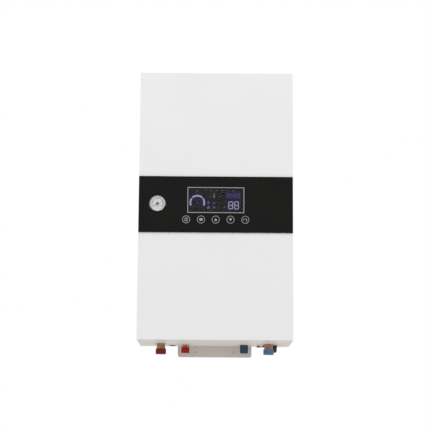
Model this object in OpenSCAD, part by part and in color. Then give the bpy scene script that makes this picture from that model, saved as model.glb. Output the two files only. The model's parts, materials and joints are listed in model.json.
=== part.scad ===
// Wall-hung electric combi boiler: a white steel casing with a black glass control band,
// four capped pipe connections below, and the heating, pump and electrical parts inside.
// Every module draws in the casing's frame: x to the right, the wall at y = 0, the front at -y,
// and z = 0 at the underside of the casing. placed() puts the origin between the upper wall bolts.

/* [Casing] */
// Width of the casing
body_w = 450; // [440:1:500]
// Height of the casing
body_h = 790; // [780:1:860]
// Depth from the wall to the face of the glass
body_d = 250; // [246:1:280]
// Thickness of the sheet steel
sheet_t = 1.2; // [0.8:0.1:1.6]
// Depth of the front cover's turned edge
cover_return = 24; // [20:1:30]
// Radius of the casing's front corners
corner_r = 3; // [2:0.5:6]
// Space behind the back plate for the wall bracket
wall_space = 12.8; // [11:0.1:18]

/* [Wall fixing] */
// Distance between the two upper wall bolts
bolt_spacing = 250; // [200:1:280]
// Radius of each upper bolt hole
bolt_hole_r = 5; // [4:0.25:6]
// Height of the upper wall bolts above the underside
bolt_height = 700; // [690:1:715]
// Width of the lower fixing tab
tab_w = 224; // [190:1:260]
// How far the lower tab hangs below the casing
tab_drop = 33; // [28:1:45]
// Distance between the two holes of the lower tab
tab_hole_spacing = 116; // [80:1:150]
// Radius of each hole of the lower tab
tab_hole_r = 3.5; // [2.5:0.25:4.5]

/* [Control band] */
// Height of the glass band
band_h = 166; // [160:1:190]
// Height of the band's lower edge above the underside
band_rise = 311; // [305:1:318]
// Thickness of the glass
glass_t = 4; // [3:0.5:5]
// Width of the clear display window
window_w = 162; // [140:1:170]
// Height of the clear display window
window_h = 72.5; // [66:0.5:76]
// Height of the window's centre above the band's lower edge
window_rise = 95.7; // [92:0.1:100]
// Width of the bright line round the window
frame_line = 3; // [1.5:0.5:4]
// Distance between touch keys
key_pitch = 43; // [34:1:46]
// Outer radius of a touch key's ring
key_ring_r = 12; // [9:0.5:13]
// Width of a touch key's ring line
key_line = 1.8; // [1:0.1:2.5]
// Height of the touch keys above the band's lower edge
key_rise = 38; // [32:1:40]

/* [Pressure gauge] */
// Radius of the gauge's bezel
gauge_r = 25; // [20:0.5:27]
// Distance of the gauge's middle from the casing's left side
gauge_offset = 55; // [48:1:65]
// Height of the gauge above the band's lower edge
gauge_rise = 85; // [70:1:100]

/* [Water connections] */
// Distance of the two heating connections from the middle
heating_port_x = 160; // [155:1:165]
// Distance of the two tap water connections from the middle
water_port_x = 88; // [84:1:92]
// Distance of the heating connections from the wall
heating_port_d = 95; // [92:1:100]
// Distance of the tap water connections from the wall
water_port_d = 55; // [52:1:57]
// Outer radius of a heating connection's thread, 3/4 inch
heating_thread_r = 13.2; // [12:0.1:14]
// Outer radius of a tap water connection's thread, 1/2 inch
water_thread_r = 10.5; // [9.5:0.1:11]
// Bore radius of a heating connection
heating_bore_r = 7.5; // [7:0.25:7.75]
// Bore radius of a tap water connection
water_bore_r = 6; // [5:0.25:6.25]
// How far a heating connection hangs below the casing
heating_drop = 29.4; // [26:0.1:36]
// How far a tap water connection hangs below the casing
water_drop = 22.8; // [20:0.1:30]
// Height of a heating connection's transport cap
heating_cap_h = 15.6; // [12:0.1:20]
// Height of the hot water connection's transport cap
water_cap_h = 16.8; // [12:0.1:18]
// Bore radius of the supply cable gland
gland_bore_r = 8; // [6:0.25:9]

/* [Heating vessel] */
// Radius of the heating vessel's shell
tank_r = 50; // [46:1:52]
// Height of the heating vessel's shell
tank_h = 355; // [330:1:380]
// Wall of the heating vessel
tank_wall = 1.5; // [1:0.25:2.5]
// Thickness of the foam jacket
jacket_t = 10; // [6:1:12]
// Radius of a heating rod
rod_r = 4.2; // [3:0.1:5]
// Length of the heating rods
rod_len = 270; // [220:5:290]

/* [Expansion vessel] */
// Radius of the expansion vessel
vessel_r = 115; // [108:1:118]
// Depth of the expansion vessel
vessel_d = 84; // [74:1:90]
// Wall of the expansion vessel
vessel_wall = 1.2; // [1:0.1:2]

/* [Pump] */
// Radius of the pump's volute
volute_r = 46; // [43:1:48]
// Distance from one pump port's face to the other's
pump_span = 130; // [120:1:134]
// Radius of the pump's motor
motor_r = 44; // [40:1:46]
// Length of the pump's motor
motor_len = 82; // [76:1:86]

/* [Pipes] */
// Outer radius of a heating pipe
heating_pipe_r = 9; // [8.5:0.1:9.5]
// Outer radius of a tap water pipe
water_pipe_r = 7.5; // [7:0.1:8]
// Wall of a copper pipe
pipe_wall = 1; // [0.7:0.1:1.2]

/* [Hidden] */
$fn = 48;
// Cut overrun, gap between pieces that only lie together, running fit, seam and solder gap
cut = 1;
gap = 0.3;
run = 0.08;
seam = 0.5;
solder_gap = 0.1;

// Casing planes
half_w = body_w / 2;
in_x = half_w - sheet_t;
in_top = body_h - sheet_t;
back_rear = -wall_space;
back_front = -(wall_space + sheet_t);
tape_t = 0.3;
glass_back = -(body_d - glass_t);
cover_front = glass_back + tape_t;
cover_in = cover_front + sheet_t;
cover_rim = cover_front + cover_return;
case_front = cover_rim + seam;
flange_w = 12;
tab_t = 2;
tray_back = -(tab_t + seam);
base_back = tray_back - seam;

// Rivets of the casing and screws of the cover
rivet_r = 2.4;
rivet_head_r = 4;
rivet_head_t = 1.2;
rivet_y = (tray_back + back_front) / 2;
rivet_shares = [0.08, 0.5, 0.92];
rivet_x = 180;
screw_x = 150;
screw_r = 2;
screw_head_r = 3.2;
screw_head_t = 1.5;
screw_len = 7;
screw_y = (cover_in + cover_rim) / 2;
lug_w = 26;
lug_end = 6;
lug_z = sheet_t + gap;
pin_x = 150;
pin_r = 2.8;
pin_tip = 8;
pin_clear = 0.2;
pin_z = in_top - pin_clear - pin_r;

// Wall bracket, its hooks and the lower bracket
bracket_w = 320;
bracket_t = 3;
bracket_h = 70;
hook_x = 75;
hook_w = 60;
hook_lip = 14;
hook_up = 20;
hook_z = bolt_height + hook_up;
slot_side = 1;
slot_under = 4;
tab_corner = 7;
tab_shelf_z = 8;
tab_up = 32;
tab_screw_x = 80;
tab_screw_z = tab_shelf_z + tab_up / 2;
tab_screw_head_t = 3;
nut_r = 7;
nut_t = 4;

// Control band
window_z = band_rise + window_rise;
key_z = band_rise + key_rise;
key_count = 5;
mark_t = 0.2;
tape_inset = 2;
gauge_x = -(half_w - gauge_offset);
gauge_z = band_rise + gauge_rise;
gauge_clear = 0.8;
cover_hole_extra = 2;
housing_wall = 2.5;
housing_side = 8;
housing_over = 14;
housing_under = 9;
housing_w = (key_count - 1) * key_pitch + 2 * (key_ring_r + housing_side);
housing_low = key_z - key_ring_r - housing_under;
housing_high = window_z + window_h / 2 + housing_over;
housing_front = cover_in + gap;
housing_depth = 38;
housing_back = housing_front + housing_depth;
opening_inset = 3;
board_t = 1.6;
board_in = 13;
board_front = housing_front + board_in;
post_r = 4;
post_inset = 10;
lcd_margin = 3;
lcd_front = glass_back + tape_t + gap;
pad_r = 7;

// Gauge: bezel, cup, lens, dial and needle
gauge_proud = 1.5;
gauge_front = -(body_d + gauge_proud);
bezel_lip = 3.5;
bezel_len = 7.5;
cup_less = 1.5;
cup_r = gauge_r - cup_less;
lens_t = 1.2;
lens_in = 1.2;
lens_r = gauge_r - bezel_lip + lens_in;
lens_y = gauge_front + lens_in;
dial_t = 0.6;
dial_in = 6;
dial_y = gauge_front + dial_in;
dial_hole_r = 1.6;
movement_r = 5;
spindle_r = 1;
spindle_len = 8;
needle_t = 0.8;
needle_w = 1.6;
needle_hub_r = 2.6;
needle_len_share = 0.76;
needle_tail_share = 0.24;
needle_y = dial_y - 2 * needle_t;
needle_rest = 214;
capillary_r = 1.5;
capillary_wall = 0.5;
capillary_in = 24;

// Cross rail behind the control band
rail_h = 40;
rail_lip = 14;

// Heating vessel, its lane and its fittings
lane_gap = 3;
lane_x = -(in_x - lane_gap - heating_pipe_r);
jacket_in = tank_r + gap;
jacket_r = jacket_in + jacket_t;
tank_x = lane_x + heating_pipe_r + lane_gap + jacket_r;
tank_y = -heating_port_d;
tank_z = 300;
tank_top = tank_z + tank_h;
stub_len = 9;
stub_wall = 2;
stub_r = heating_pipe_r + stub_wall;
outlet_down = 24;
outlet_z = tank_top - outlet_down;
neck_r = 36;
neck_bore_r = 30;
neck_h = 12;
head_r = 38;
head_h = 10;
plug_h = 10;
rod_pitch = 17;
rod_half = 11;
rod_stub = 12;
rod_count = 3;
jacket_end = 4;
jacket_cut = 1;
mount_w = 30;
mount_h = 24;
mount_shares = [0.2, 0.78];
thermostat_w = 34;
thermostat_h = 26;
thermostat_d = 22;
thermostat_share = 0.66;
thermostat_z = tank_z + thermostat_share * tank_h;
thermostat_front = tank_y - tank_r - thermostat_d;
button_r = 3;
button_proud = 4;
button_in = 8;
button_travel = 2;
vent_r = 13;
vent_h = 34;
vent_neck_r = 5;
vent_neck = jacket_r - tank_r + jacket_cut;
vent_turn = -45;
vent_way = [cos(vent_turn), sin(vent_turn), 0];
vent_foot = tank_r + vent_neck;
vent_at = [tank_x, tank_y, 0] + (vent_foot + vent_r) * vent_way;
vent_z = outlet_z - vent_h / 2;
vent_screw_r = 3;
vent_screw_h = 5;

// Expansion vessel
vessel_side = 2.8;
vessel_x = in_x - vessel_side - vessel_r;
vessel_top = 44;
vessel_z = body_h - vessel_top - vessel_r;
vessel_rim = 5;
vessel_rim_t = 4;
vessel_y = back_front - vessel_d / 2;
vessel_flat_share = 0.72;
vessel_side_share = 0.3;
vessel_port_r = 7;
vessel_port_len = 14;
vessel_stud_r = 4;
fill_valve_r = 4;
fill_valve_len = 10;
vessel_pipe_r = 6;
vessel_pipe_x = -60;
vessel_pipe_over = 32;

// Pump on the heating return
pump_x = -20;
pump_z = 190;
volute_d = 48;
volute_front = tank_y - volute_d / 2;
port_r = 16;
port_bore_r = heating_pipe_r - pipe_wall;
chamber_less = 10;
chamber_r = volute_r - chamber_less;
chamber_d = 30;
motor_wall = 3;
motor_front = volute_front - motor_len;
stator_t = 12;
stator_len = 50;
shaft_r = 5;
rotor_gap = 1;
rotor_r = motor_r - motor_wall - stator_t - rotor_gap;
impeller_gap = 3;
impeller_r = chamber_r - impeller_gap;
impeller_plate = 3;
impeller_t = 12;
vane_t = 2;
vane_count = 6;
bearing_len = 10;
bearing_r = 10;
wire_box_w = 24;
wire_box_h = 50;
wire_box_d = 46;

// Diverter valve over the heating flow connection
diverter_x = -heating_port_x;
diverter_z = 95;
diverter_half = 50;
diverter_wall = 5;
diverter_tube_r = heating_pipe_r + diverter_wall;
diverter_branch = 36;
chamber_plug_r = 14;
diverter_body_r = chamber_plug_r + diverter_wall;
diverter_body_d = 44;
diverter_end = 4;
diverter_front = tank_y - diverter_body_d / 2;
plug_face = 4.5;
plug_disc = 3;
plug_shaft_r = 4;
plug_shaft_in = 7;
actuator_w = 48;
actuator_h = 60;
actuator_d = 72;

// Plate heat exchanger
hx_t = 50;
hx_w = 74;
hx_h = 192;
hx_x = 140;
hx_z = 70;
hx_edge = 19;
hx_port_len = 12;
hx_plates = 12;
hx_lip = 1.5;
hx_plate_t = 1.6;
hx_rear_y = -water_port_d;
hx_front_y = -heating_port_d;
hx_mid_y = (hx_rear_y + hx_front_y) / 2;
hx_low_z = hx_z + hx_edge;
hx_high_z = hx_z + hx_h - hx_edge;
hx_face_x = hx_x - hx_t / 2;
hx_port_x = hx_face_x - hx_port_len;
hx_mount_h = 40;

// Nipples, caps, grommet and gland in the base
nipple_hex_extra = 4.8;
nipple_hex_h = 12;
nipple_up = 14;
nipple_gap = 1.5;
nipple_top = sheet_t + nipple_hex_h + nipple_up;
socket_depth = 8;
socket_wall = 2;
cap_slack = 0.85;
cap_end = 1.2;
cap_seat = 0.3;
cold_cap_gap = 0.5;
cold_cap_h = water_drop + cap_seat + cap_end - cold_cap_gap;
heating_cap_wall = 1.5;
water_cap_wall = 1;
drain_x = -127;
drain_y = -33;
grommet_r = 11;
grommet_lip = 2;
grommet_bore_r = 7;
grommet_t = 1.4;
gland_x = 173;
gland_y = -50;
gland_r = 13.5;
gland_thread_r = 11;
gland_drop = 21;
gland_hex_h = 7;
gland_taper = 4;
gland_tip_r = 11;
gland_up = 9;
gland_nut_h = 5;

// Flow sensor on the cold inlet and filling tap beside it
sensor_gap = 11;
sensor_z = nipple_top + sensor_gap;
sensor_r = 15;
sensor_h = 36;
sensor_end = 9;
turbine_gap = 1;
sensor_wall = 3;
turbine_r = sensor_r - sensor_wall - turbine_gap;
turbine_h = 12;
turbine_hub_r = 3;
blade_t = 1.2;
blade_count = 6;
axle_r = 1;
axle_len = 16;
spider_t = 1.6;
spider_h = 3;
pickup = [16, 12, 20];
tap_x = 147;
tap_y = -water_port_d;
tap_r = 8;
tap_low = 8;
tap_over = 8;
tap_foot_r = 5;
tap_arm_r = 4;
tap_spindle_r = 3;
tap_spindle_in = 10;
tap_lever_z = -6;
tap_lever_t = 2.5;
tap_lever_w = 5;
tap_lever_len = 16;
tap_knob_r = 5;
tap_knob_h = 5;

// Relief valve over its drain
relief_z = 170;
relief_arm_r = 8;
relief_r = 13;
relief_half = 20;
relief_outlet_r = 10;
relief_outlet = 26;
relief_bore_r = 6;
relief_knob_r = 17;
relief_knob_t = 16;
relief_shaft_r = 3;
relief_shaft_in = 12;
relief_knob_gap = 1;
relief_grip_r = 3;
relief_lobes = 6;

// Pipe lanes
feed_z = 190;
return_z = 45;
rise_z = 268;
tee_x = 85;
riser_x = 55;
branch_in = 14;
front_lane_y = -140;
union_up = 5;
elbow_extra = 0.6;
elbow_reach_share = 1.2;
bore_extra = 0.15;

// Electrical panel and what it carries
panel_gap = 12;
panel_y = vessel_y - vessel_d / 2 - fill_valve_len - panel_gap;
panel_front = panel_y - sheet_t;
panel_lane = 17.2;
panel_side = 10.8;
panel_down = 14;
panel_left = tank_x + jacket_r + panel_lane;
panel_right = in_x - panel_side;
panel_w = panel_right - panel_left;
panel_low = 488;
panel_high = body_h - panel_down;
stand_r = 6;
stand_inset = 9;
bar_h = 35;
bar_t = 5;
bar_down = 62;
bar_z = panel_high - bar_down;
bar_inset = 6;
bar_front = panel_front - bar_t;
module_h = 86;
breaker_w = 36;
breaker_d = 60;
breaker_share = 0.0873;
breaker_x = panel_left + breaker_share * panel_w;
toggle_r = 6;
toggle_w = 9;
toggle_len = 17;
toggle_t = 5;
toggle_up = 30;
breaker_front = bar_front - breaker_d;
contactor_w = 46;
contactor_d = 68;
contactor_share = 0.371;
contactor_x = panel_left + contactor_share * panel_w;
contactor_front = bar_front - contactor_d;
plunger_r = 6;
plunger_in = 18;
plunger_proud = 6;
plunger_travel = 4;
terminal_w = 56;
terminal_h = 44;
terminal_d = 40;
terminal_share = 0.698;
terminal_x = panel_left + terminal_share * panel_w;
terminal_poles = 5;
terminal_screw_r = 3.5;
terminal_screw_t = 1.5;
power_in = 12;
power_left = panel_left + power_in;
power_w = 190;
power_h = 104;
power_up = 14;
power_z = panel_low + power_up;
power_stand = 8;
power_back = panel_front - power_stand;
relay = [26, 26, 28];
relay_count = 3;
relay_pitch = 34;
relay_inset = 12;
sink_w = 60;
sink_h = 70;
sink_d = 34;
fin_t = 2.4;
fin_base = 5;
fin_count = 7;
lead_r = 5;
wire_r = 3;
lead_over = 8;
wire_box_in = 9;
wire_x = pump_x - motor_r - wire_box_in;
wire_turn = 12;

white = [0.93, 0.93, 0.93];
steel = [0.72, 0.73, 0.74];
brass = [0.78, 0.62, 0.32];
copper = [0.72, 0.45, 0.3];
black = [0.06, 0.06, 0.07];
red = [0.6, 0.1, 0.08];

function unit(way) = way / norm(way);
function mirrored_sides() = [-1, 1];
// A path whose first and last points are moved outwards by extra
function stretched(points, extra) = [
    for (i = [0:len(points) - 1])
        i == 0 ? points[i] - extra * unit(points[1] - points[0])
        : i == len(points) - 1 ? points[i] + extra * unit(points[i] - points[i - 1])
        : points[i]
];

module placed() {
    translate([0, 0, -bolt_height]) children();
}

// A box from its low corner to its high corner
module slab(low, high) {
    translate(low) cube(high - low);
}

// A slab whose four corners in the x-z plane are round
module round_slab(low, high, r) {
    slab([low[0] + r, low[1], low[2]], [high[0] - r, high[1], high[2]]);
    slab([low[0], low[1], low[2] + r], [high[0], high[1], high[2] - r]);
    for (x = [low[0] + r, high[0] - r]) {
        for (z = [low[2] + r, high[2] - r]) {
            leg([x, low[1], z], [x, high[1], z], r);
        }
    }
}

// A cylinder from one point to another
module leg(from, to, r) {
    way = to - from;
    translate(from)
        rotate([0, acos(way[2] / norm(way)), atan2(way[1], way[0])])
            cylinder(r = r, h = norm(way));
}

// A ring from one point to another
module ring(from, to, r, bore_r) {
    difference() {
        leg(from, to, r);
        leg(from - cut * unit(to - from), to + cut * unit(to - from), bore_r);
    }
}

// Legs through a list of points, with a ball at each turn whose seam lies away from both legs
module run_along(points, r, ball_r) {
    for (i = [1:len(points) - 1]) {
        leg(points[i - 1], points[i], r);
    }
    for (i = [1:1:len(points) - 2]) {
        away = unit(points[i] - points[i - 1]) + unit(points[i] - points[i + 1]);
        translate(points[i]) rotate([0, 0, atan2(away[1], away[0])]) sphere(r = ball_r);
    }
}

// Copper pipes along several paths, with a soldered elbow at each turn
module pipes(paths, r, wall) {
    difference() {
        union() {
            for (points = paths) {
                run_along(points, r, r + 2 * elbow_extra);
                for (i = [1:1:len(points) - 2]) {
                    for (step = mirrored_sides()) {
                        way = unit(points[i + step] - points[i]);
                        leg(points[i], points[i] + elbow_reach_share * r * way, r + elbow_extra);
                    }
                }
            }
        }
        for (points = paths) {
            run_along(stretched(points, cut), r - wall, r - wall + bore_extra);
        }
    }
}

module both_sides() {
    children();
    mirror([1, 0, 0]) children();
}

// Casing

module back_plate() {
    color(steel) placed() difference() {
        union() {
            slab([-in_x, back_front, sheet_t], [in_x, back_rear, in_top]);
            both_sides()
                slab([in_x - sheet_t, back_rear, sheet_t], [in_x, tray_back, in_top]);
            slab([-in_x, back_rear, sheet_t], [in_x, tray_back, 2 * sheet_t]);
            slab([-in_x, back_rear, in_top - sheet_t], [in_x, tray_back, in_top]);
        }
        for (side = mirrored_sides()) {
            slab(
                [side * hook_x - hook_w / 2 - slot_side, back_front - cut, hook_z - slot_under],
                [side * hook_x + hook_w / 2 + slot_side, back_rear + cut, hook_z + bracket_t]
            );
            for (share = rivet_shares) {
                leg([0, rivet_y, share * body_h], [side * body_w, rivet_y, share * body_h], rivet_r);
            }
            leg([side * rivet_x, rivet_y, -cut], [side * rivet_x, rivet_y, body_h], rivet_r);
            leg([side * tab_screw_x, 0, tab_screw_z], [side * tab_screw_x, -body_d, tab_screw_z],
                screw_r);
        }
        leg([vessel_x, 0, vessel_z], [vessel_x, -body_d, vessel_z], vessel_stud_r);
    }
}

module side_panels() {
    color(white) placed() both_sides() difference() {
        union() {
            slab([in_x, case_front, 0], [half_w, tray_back, body_h]);
            slab([in_x - flange_w, case_front, flange_w], [in_x, case_front + sheet_t, body_h - flange_w]);
        }
        for (share = rivet_shares) {
            leg([0, rivet_y, share * body_h], [body_w, rivet_y, share * body_h], rivet_r);
        }
    }
}

module top_panel() {
    color(white) placed() {
        difference() {
            slab([-in_x, case_front, in_top], [in_x, tray_back, body_h]);
            for (side = mirrored_sides()) {
                leg([side * rivet_x, rivet_y, 0], [side * rivet_x, rivet_y, body_h + cut], rivet_r);
            }
        }
        slab([-in_x, case_front, body_h - flange_w], [in_x, case_front + sheet_t, in_top]);
        for (side = mirrored_sides()) {
            leg([side * pin_x, case_front + sheet_t, pin_z],
                [side * pin_x, case_front - pin_tip, pin_z], pin_r);
        }
    }
}

module base_panel() {
    color(white) placed() {
        difference() {
            slab([-in_x, case_front, 0], [in_x, base_back, sheet_t]);
            for (side = mirrored_sides()) {
                base_hole([side * heating_port_x, -heating_port_d], heating_thread_r + nipple_gap);
                base_hole([side * water_port_x, -water_port_d], water_thread_r + nipple_gap);
                base_hole([side * rivet_x, rivet_y], rivet_r);
            }
            base_hole([drain_x, drain_y], grommet_r - grommet_lip);
            base_hole([gland_x, gland_y], gland_thread_r + gap);
            base_hole([tap_x, tap_y], tap_spindle_r + gap);
        }
        slab([-in_x, case_front, sheet_t], [in_x, case_front + sheet_t, flange_w]);
        for (side = mirrored_sides()) {
            cover_lug(side * screw_x);
        }
    }
}

module base_hole(at, r) {
    leg([at[0], at[1], -cut], [at[0], at[1], sheet_t + cut], r);
}

// A tongue over the cover's lower edge, slotted towards the front for the cover's screw
module cover_lug(x) {
    difference() {
        slab([x - lug_w / 2, screw_y - lug_end, lug_z],
             [x + lug_w / 2, case_front, lug_z + sheet_t]);
        slab([x - screw_r - gap, screw_y - lug_end - cut, lug_z - cut],
             [x + screw_r + gap, screw_y + screw_r + gap, lug_z + sheet_t + cut]);
    }
}

module wall_bracket() {
    color(steel) placed() {
        difference() {
            slab([-bracket_w / 2, -bracket_t, bolt_height - bracket_h / 2],
                 [bracket_w / 2, 0, bolt_height + bracket_h / 2]);
            for (side = mirrored_sides()) {
                x = side * bolt_spacing / 2;
                leg([x, cut, bolt_height], [x, -body_d, bolt_height], bolt_hole_r);
            }
        }
        for (side = mirrored_sides()) {
            x = side * hook_x;
            lip_y = back_front - gap - bracket_t;
            slab([x - hook_w / 2, lip_y, hook_z], [x + hook_w / 2, -bracket_t, hook_z + bracket_t]);
            slab([x - hook_w / 2, lip_y, hook_z],
                 [x + hook_w / 2, lip_y + bracket_t, hook_z + hook_lip]);
        }
    }
}

module lower_bracket() {
    color(steel) placed() difference() {
        union() {
            round_slab([-tab_w / 2, -tab_t, -tab_drop],
                       [tab_w / 2, 0, tab_shelf_z + tab_t], tab_corner);
            slab([-tab_w / 2, -tab_t, 0], [tab_w / 2, 0, tab_shelf_z + tab_t]);
            slab([-tab_w / 2, back_rear, tab_shelf_z], [tab_w / 2, 0, tab_shelf_z + tab_t]);
            slab([-tab_w / 2, back_rear, tab_shelf_z],
                 [tab_w / 2, back_rear + tab_t, tab_shelf_z + tab_up]);
        }
        for (side = mirrored_sides()) {
            x = side * tab_hole_spacing / 2;
            leg([x, cut, -tab_drop / 2], [x, -tab_t - cut, -tab_drop / 2], tab_hole_r);
            leg([side * tab_screw_x, 0, tab_screw_z], [side * tab_screw_x, -body_d, tab_screw_z],
                screw_r);
        }
    }
}

// Flush rivets, the lower bracket's screws and the expansion vessel's nut
module case_fasteners() {
    color(steel) placed() {
        for (side = mirrored_sides()) {
            for (share = rivet_shares) {
                rivet([side * half_w, rivet_y, share * body_h], [-side, 0, 0]);
            }
            rivet([side * rivet_x, rivet_y, 0], [0, 0, 1]);
            rivet([side * rivet_x, rivet_y, body_h], [0, 0, -1]);
            front = [side * tab_screw_x, back_front, tab_screw_z];
            leg(front - [0, tab_screw_head_t, 0], front, rivet_head_r);
            leg(front, front + [0, sheet_t + tab_t + screw_r, 0], screw_r);
        }
        ring([vessel_x, back_rear, vessel_z], [vessel_x, back_rear + nut_t, vessel_z],
             nut_r, vessel_stud_r);
    }
}

module rivet(at, way) {
    leg(at, at + 2 * sheet_t * way, rivet_r);
    leg(at + 2 * sheet_t * way, at + (2 * sheet_t + rivet_head_t) * way, rivet_head_r);
}

module front_cover() {
    color(white) placed() difference() {
        round_slab([-half_w, cover_front, 0], [half_w, cover_rim, body_h], corner_r);
        slab([-in_x, cover_in, sheet_t], [in_x, cover_rim + cut, in_top]);
        control_opening(cover_front - cut, cover_in + cut);
        gauge_opening(cover_front - cut, cover_in + cut, gauge_clear + cover_hole_extra);
        for (side = mirrored_sides()) {
            leg([side * screw_x, screw_y, -cut], [side * screw_x, screw_y, sheet_t + cut], screw_r);
        }
    }
}

module control_opening(from_y, to_y) {
    slab([-housing_w / 2 + opening_inset, from_y, housing_low + opening_inset],
         [housing_w / 2 - opening_inset, to_y, housing_high - opening_inset]);
}

module gauge_opening(from_y, to_y, extra) {
    leg([gauge_x, from_y, gauge_z], [gauge_x, to_y, gauge_z], gauge_r + extra);
}

module cover_screws() {
    color(steel) placed() for (side = mirrored_sides()) {
        x = side * screw_x;
        leg([x, screw_y, -screw_head_t], [x, screw_y, 0], screw_head_r);
        leg([x, screw_y, 0], [x, screw_y, screw_len], screw_r);
    }
}

// Glass band and controls

module control_glass() {
    color(black) placed() difference() {
        slab([-half_w, -body_d, band_rise], [half_w, glass_back, band_rise + band_h]);
        gauge_opening(-body_d - cut, glass_back + cut, gauge_clear);
    }
}

module glass_tape() {
    color(black) placed() difference() {
        slab([-half_w + tape_inset, glass_back, band_rise + tape_inset],
             [half_w - tape_inset, cover_front, band_rise + band_h - tape_inset]);
        control_opening(glass_back - cut, cover_front + cut);
        gauge_opening(glass_back - cut, cover_front + cut, gauge_clear + cover_hole_extra);
    }
}

// The bright line round the display and the ring of each touch key
module glass_markings() {
    color(white) placed() {
        difference() {
            window_slab(frame_line, -body_d - mark_t, -body_d);
            window_slab(0, -body_d - mark_t - cut, -body_d + cut);
        }
        for (i = [0:key_count - 1]) {
            x = key_x(i);
            ring([x, -body_d - mark_t, key_z], [x, -body_d, key_z], key_ring_r, key_ring_r - key_line);
        }
    }
}

function key_x(i) = (i - (key_count - 1) / 2) * key_pitch;

module window_slab(extra, from_y, to_y) {
    slab([-window_w / 2 - extra, from_y, window_z - window_h / 2 - extra],
         [window_w / 2 + extra, to_y, window_z + window_h / 2 + extra]);
}

module control_housing() {
    color(black) placed() {
        difference() {
            slab([-housing_w / 2, housing_front, housing_low],
                 [housing_w / 2, housing_back, housing_high]);
            slab([-housing_w / 2 + housing_wall, housing_front - cut, housing_low + housing_wall],
                 [housing_w / 2 - housing_wall, housing_back - housing_wall,
                  housing_high - housing_wall]);
        }
        for (x = mirrored_sides()) {
            for (z = [housing_low + post_inset, housing_high - post_inset]) {
                post_x = x * (housing_w / 2 - post_inset);
                leg([post_x, board_front + board_t, z], [post_x, housing_back - housing_wall, z], post_r);
            }
        }
    }
}

// The control board with a sprung touch pad behind each key
module control_board() {
    color("darkgreen") placed() {
        slab([-housing_w / 2 + housing_wall + gap, board_front, housing_low + housing_wall + gap],
             [housing_w / 2 - housing_wall - gap, board_front + board_t,
              housing_high - housing_wall - gap]);
        for (i = [0:key_count - 1]) {
            leg([key_x(i), lcd_front, key_z], [key_x(i), board_front, key_z], pad_r);
        }
    }
}

module lcd_module() {
    color("darkblue") placed() window_slab(lcd_margin, lcd_front, board_front);
}

// Pressure gauge

module gauge_case() {
    color(steel) placed() {
        difference() {
            union() {
                gauge_leg(gauge_front, gauge_front + bezel_len, gauge_r);
                gauge_leg(gauge_front + bezel_len, housing_back, cup_r);
            }
            gauge_leg(gauge_front - cut, lens_y, gauge_r - bezel_lip);
            gauge_leg(lens_y, housing_back - housing_wall, lens_r);
        }
        difference() {
            union() {
                gauge_leg(dial_y + dial_t, housing_back - housing_wall, movement_r);
                slab([gauge_x - movement_r / 2, dial_y + dial_t, gauge_z - lens_r],
                     [gauge_x + movement_r / 2, dial_y + dial_t + movement_r, gauge_z + lens_r]);
            }
            gauge_leg(dial_y, dial_y + spindle_len + run, spindle_r + run);
        }
    }
}

module gauge_leg(from_y, to_y, r) {
    leg([gauge_x, from_y, gauge_z], [gauge_x, to_y, gauge_z], r);
}

module gauge_lens() {
    color("lightcyan") placed() gauge_leg(lens_y, lens_y + lens_t, lens_r);
}

module gauge_dial() {
    color(white) placed() difference() {
        gauge_leg(dial_y, dial_y + dial_t, lens_r);
        gauge_leg(dial_y - cut, dial_y + dial_t + cut, dial_hole_r);
    }
}

module gauge_needle() {
    color(black) placed() {
        gauge_leg(needle_y, needle_y + needle_t, needle_hub_r);
        gauge_leg(needle_y, dial_y + spindle_len, spindle_r);
        translate([gauge_x, needle_y, gauge_z]) rotate([0, -needle_rest, 0])
            slab([-needle_tail_share * lens_r, 0, -needle_w / 2],
                 [needle_len_share * lens_r, needle_t, needle_w / 2]);
    }
}

module gauge_capillary() {
    start_y = gauge_front + capillary_in;
    color(copper) placed() pipes([[
        [gauge_x, start_y, gauge_z - cup_r],
        [gauge_x, start_y, feed_z],
        [gauge_x, tank_y - heating_pipe_r - elbow_extra, feed_z]
    ]], capillary_r, capillary_wall);
}

// Heating vessel

module heating_tank() {
    color(steel) placed() difference() {
        union() {
            tank_leg(tank_z, tank_top, tank_r);
            tank_leg(tank_top, tank_top + neck_h, neck_r);
            tank_leg(tank_z - stub_len, tank_z, stub_r);
            leg([tank_x, tank_y, outlet_z], [tank_x - tank_r - stub_len, tank_y, outlet_z], stub_r);
            vent_branch(vent_foot, vent_neck_r);
        }
        tank_leg(tank_z + tank_wall, tank_top - tank_wall, tank_r - tank_wall);
        tank_leg(tank_top - tank_wall - cut, tank_top + neck_h + cut, neck_bore_r);
        tank_leg(tank_z - stub_len - cut, tank_z + tank_wall + cut, heating_pipe_r + solder_gap);
        leg([tank_x, tank_y, outlet_z], [tank_x - tank_r - stub_len - cut, tank_y, outlet_z],
            heating_pipe_r + solder_gap);
        vent_branch(vent_foot + cut, vent_neck_r - tank_wall);
    }
}

// From the vessel's axis towards the air vent
module vent_branch(reach, r) {
    from = [tank_x, tank_y, outlet_z];
    leg(from, from + reach * vent_way, r);
}

module tank_leg(from_z, to_z, r) {
    leg([tank_x, tank_y, from_z], [tank_x, tank_y, to_z], r);
}

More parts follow.
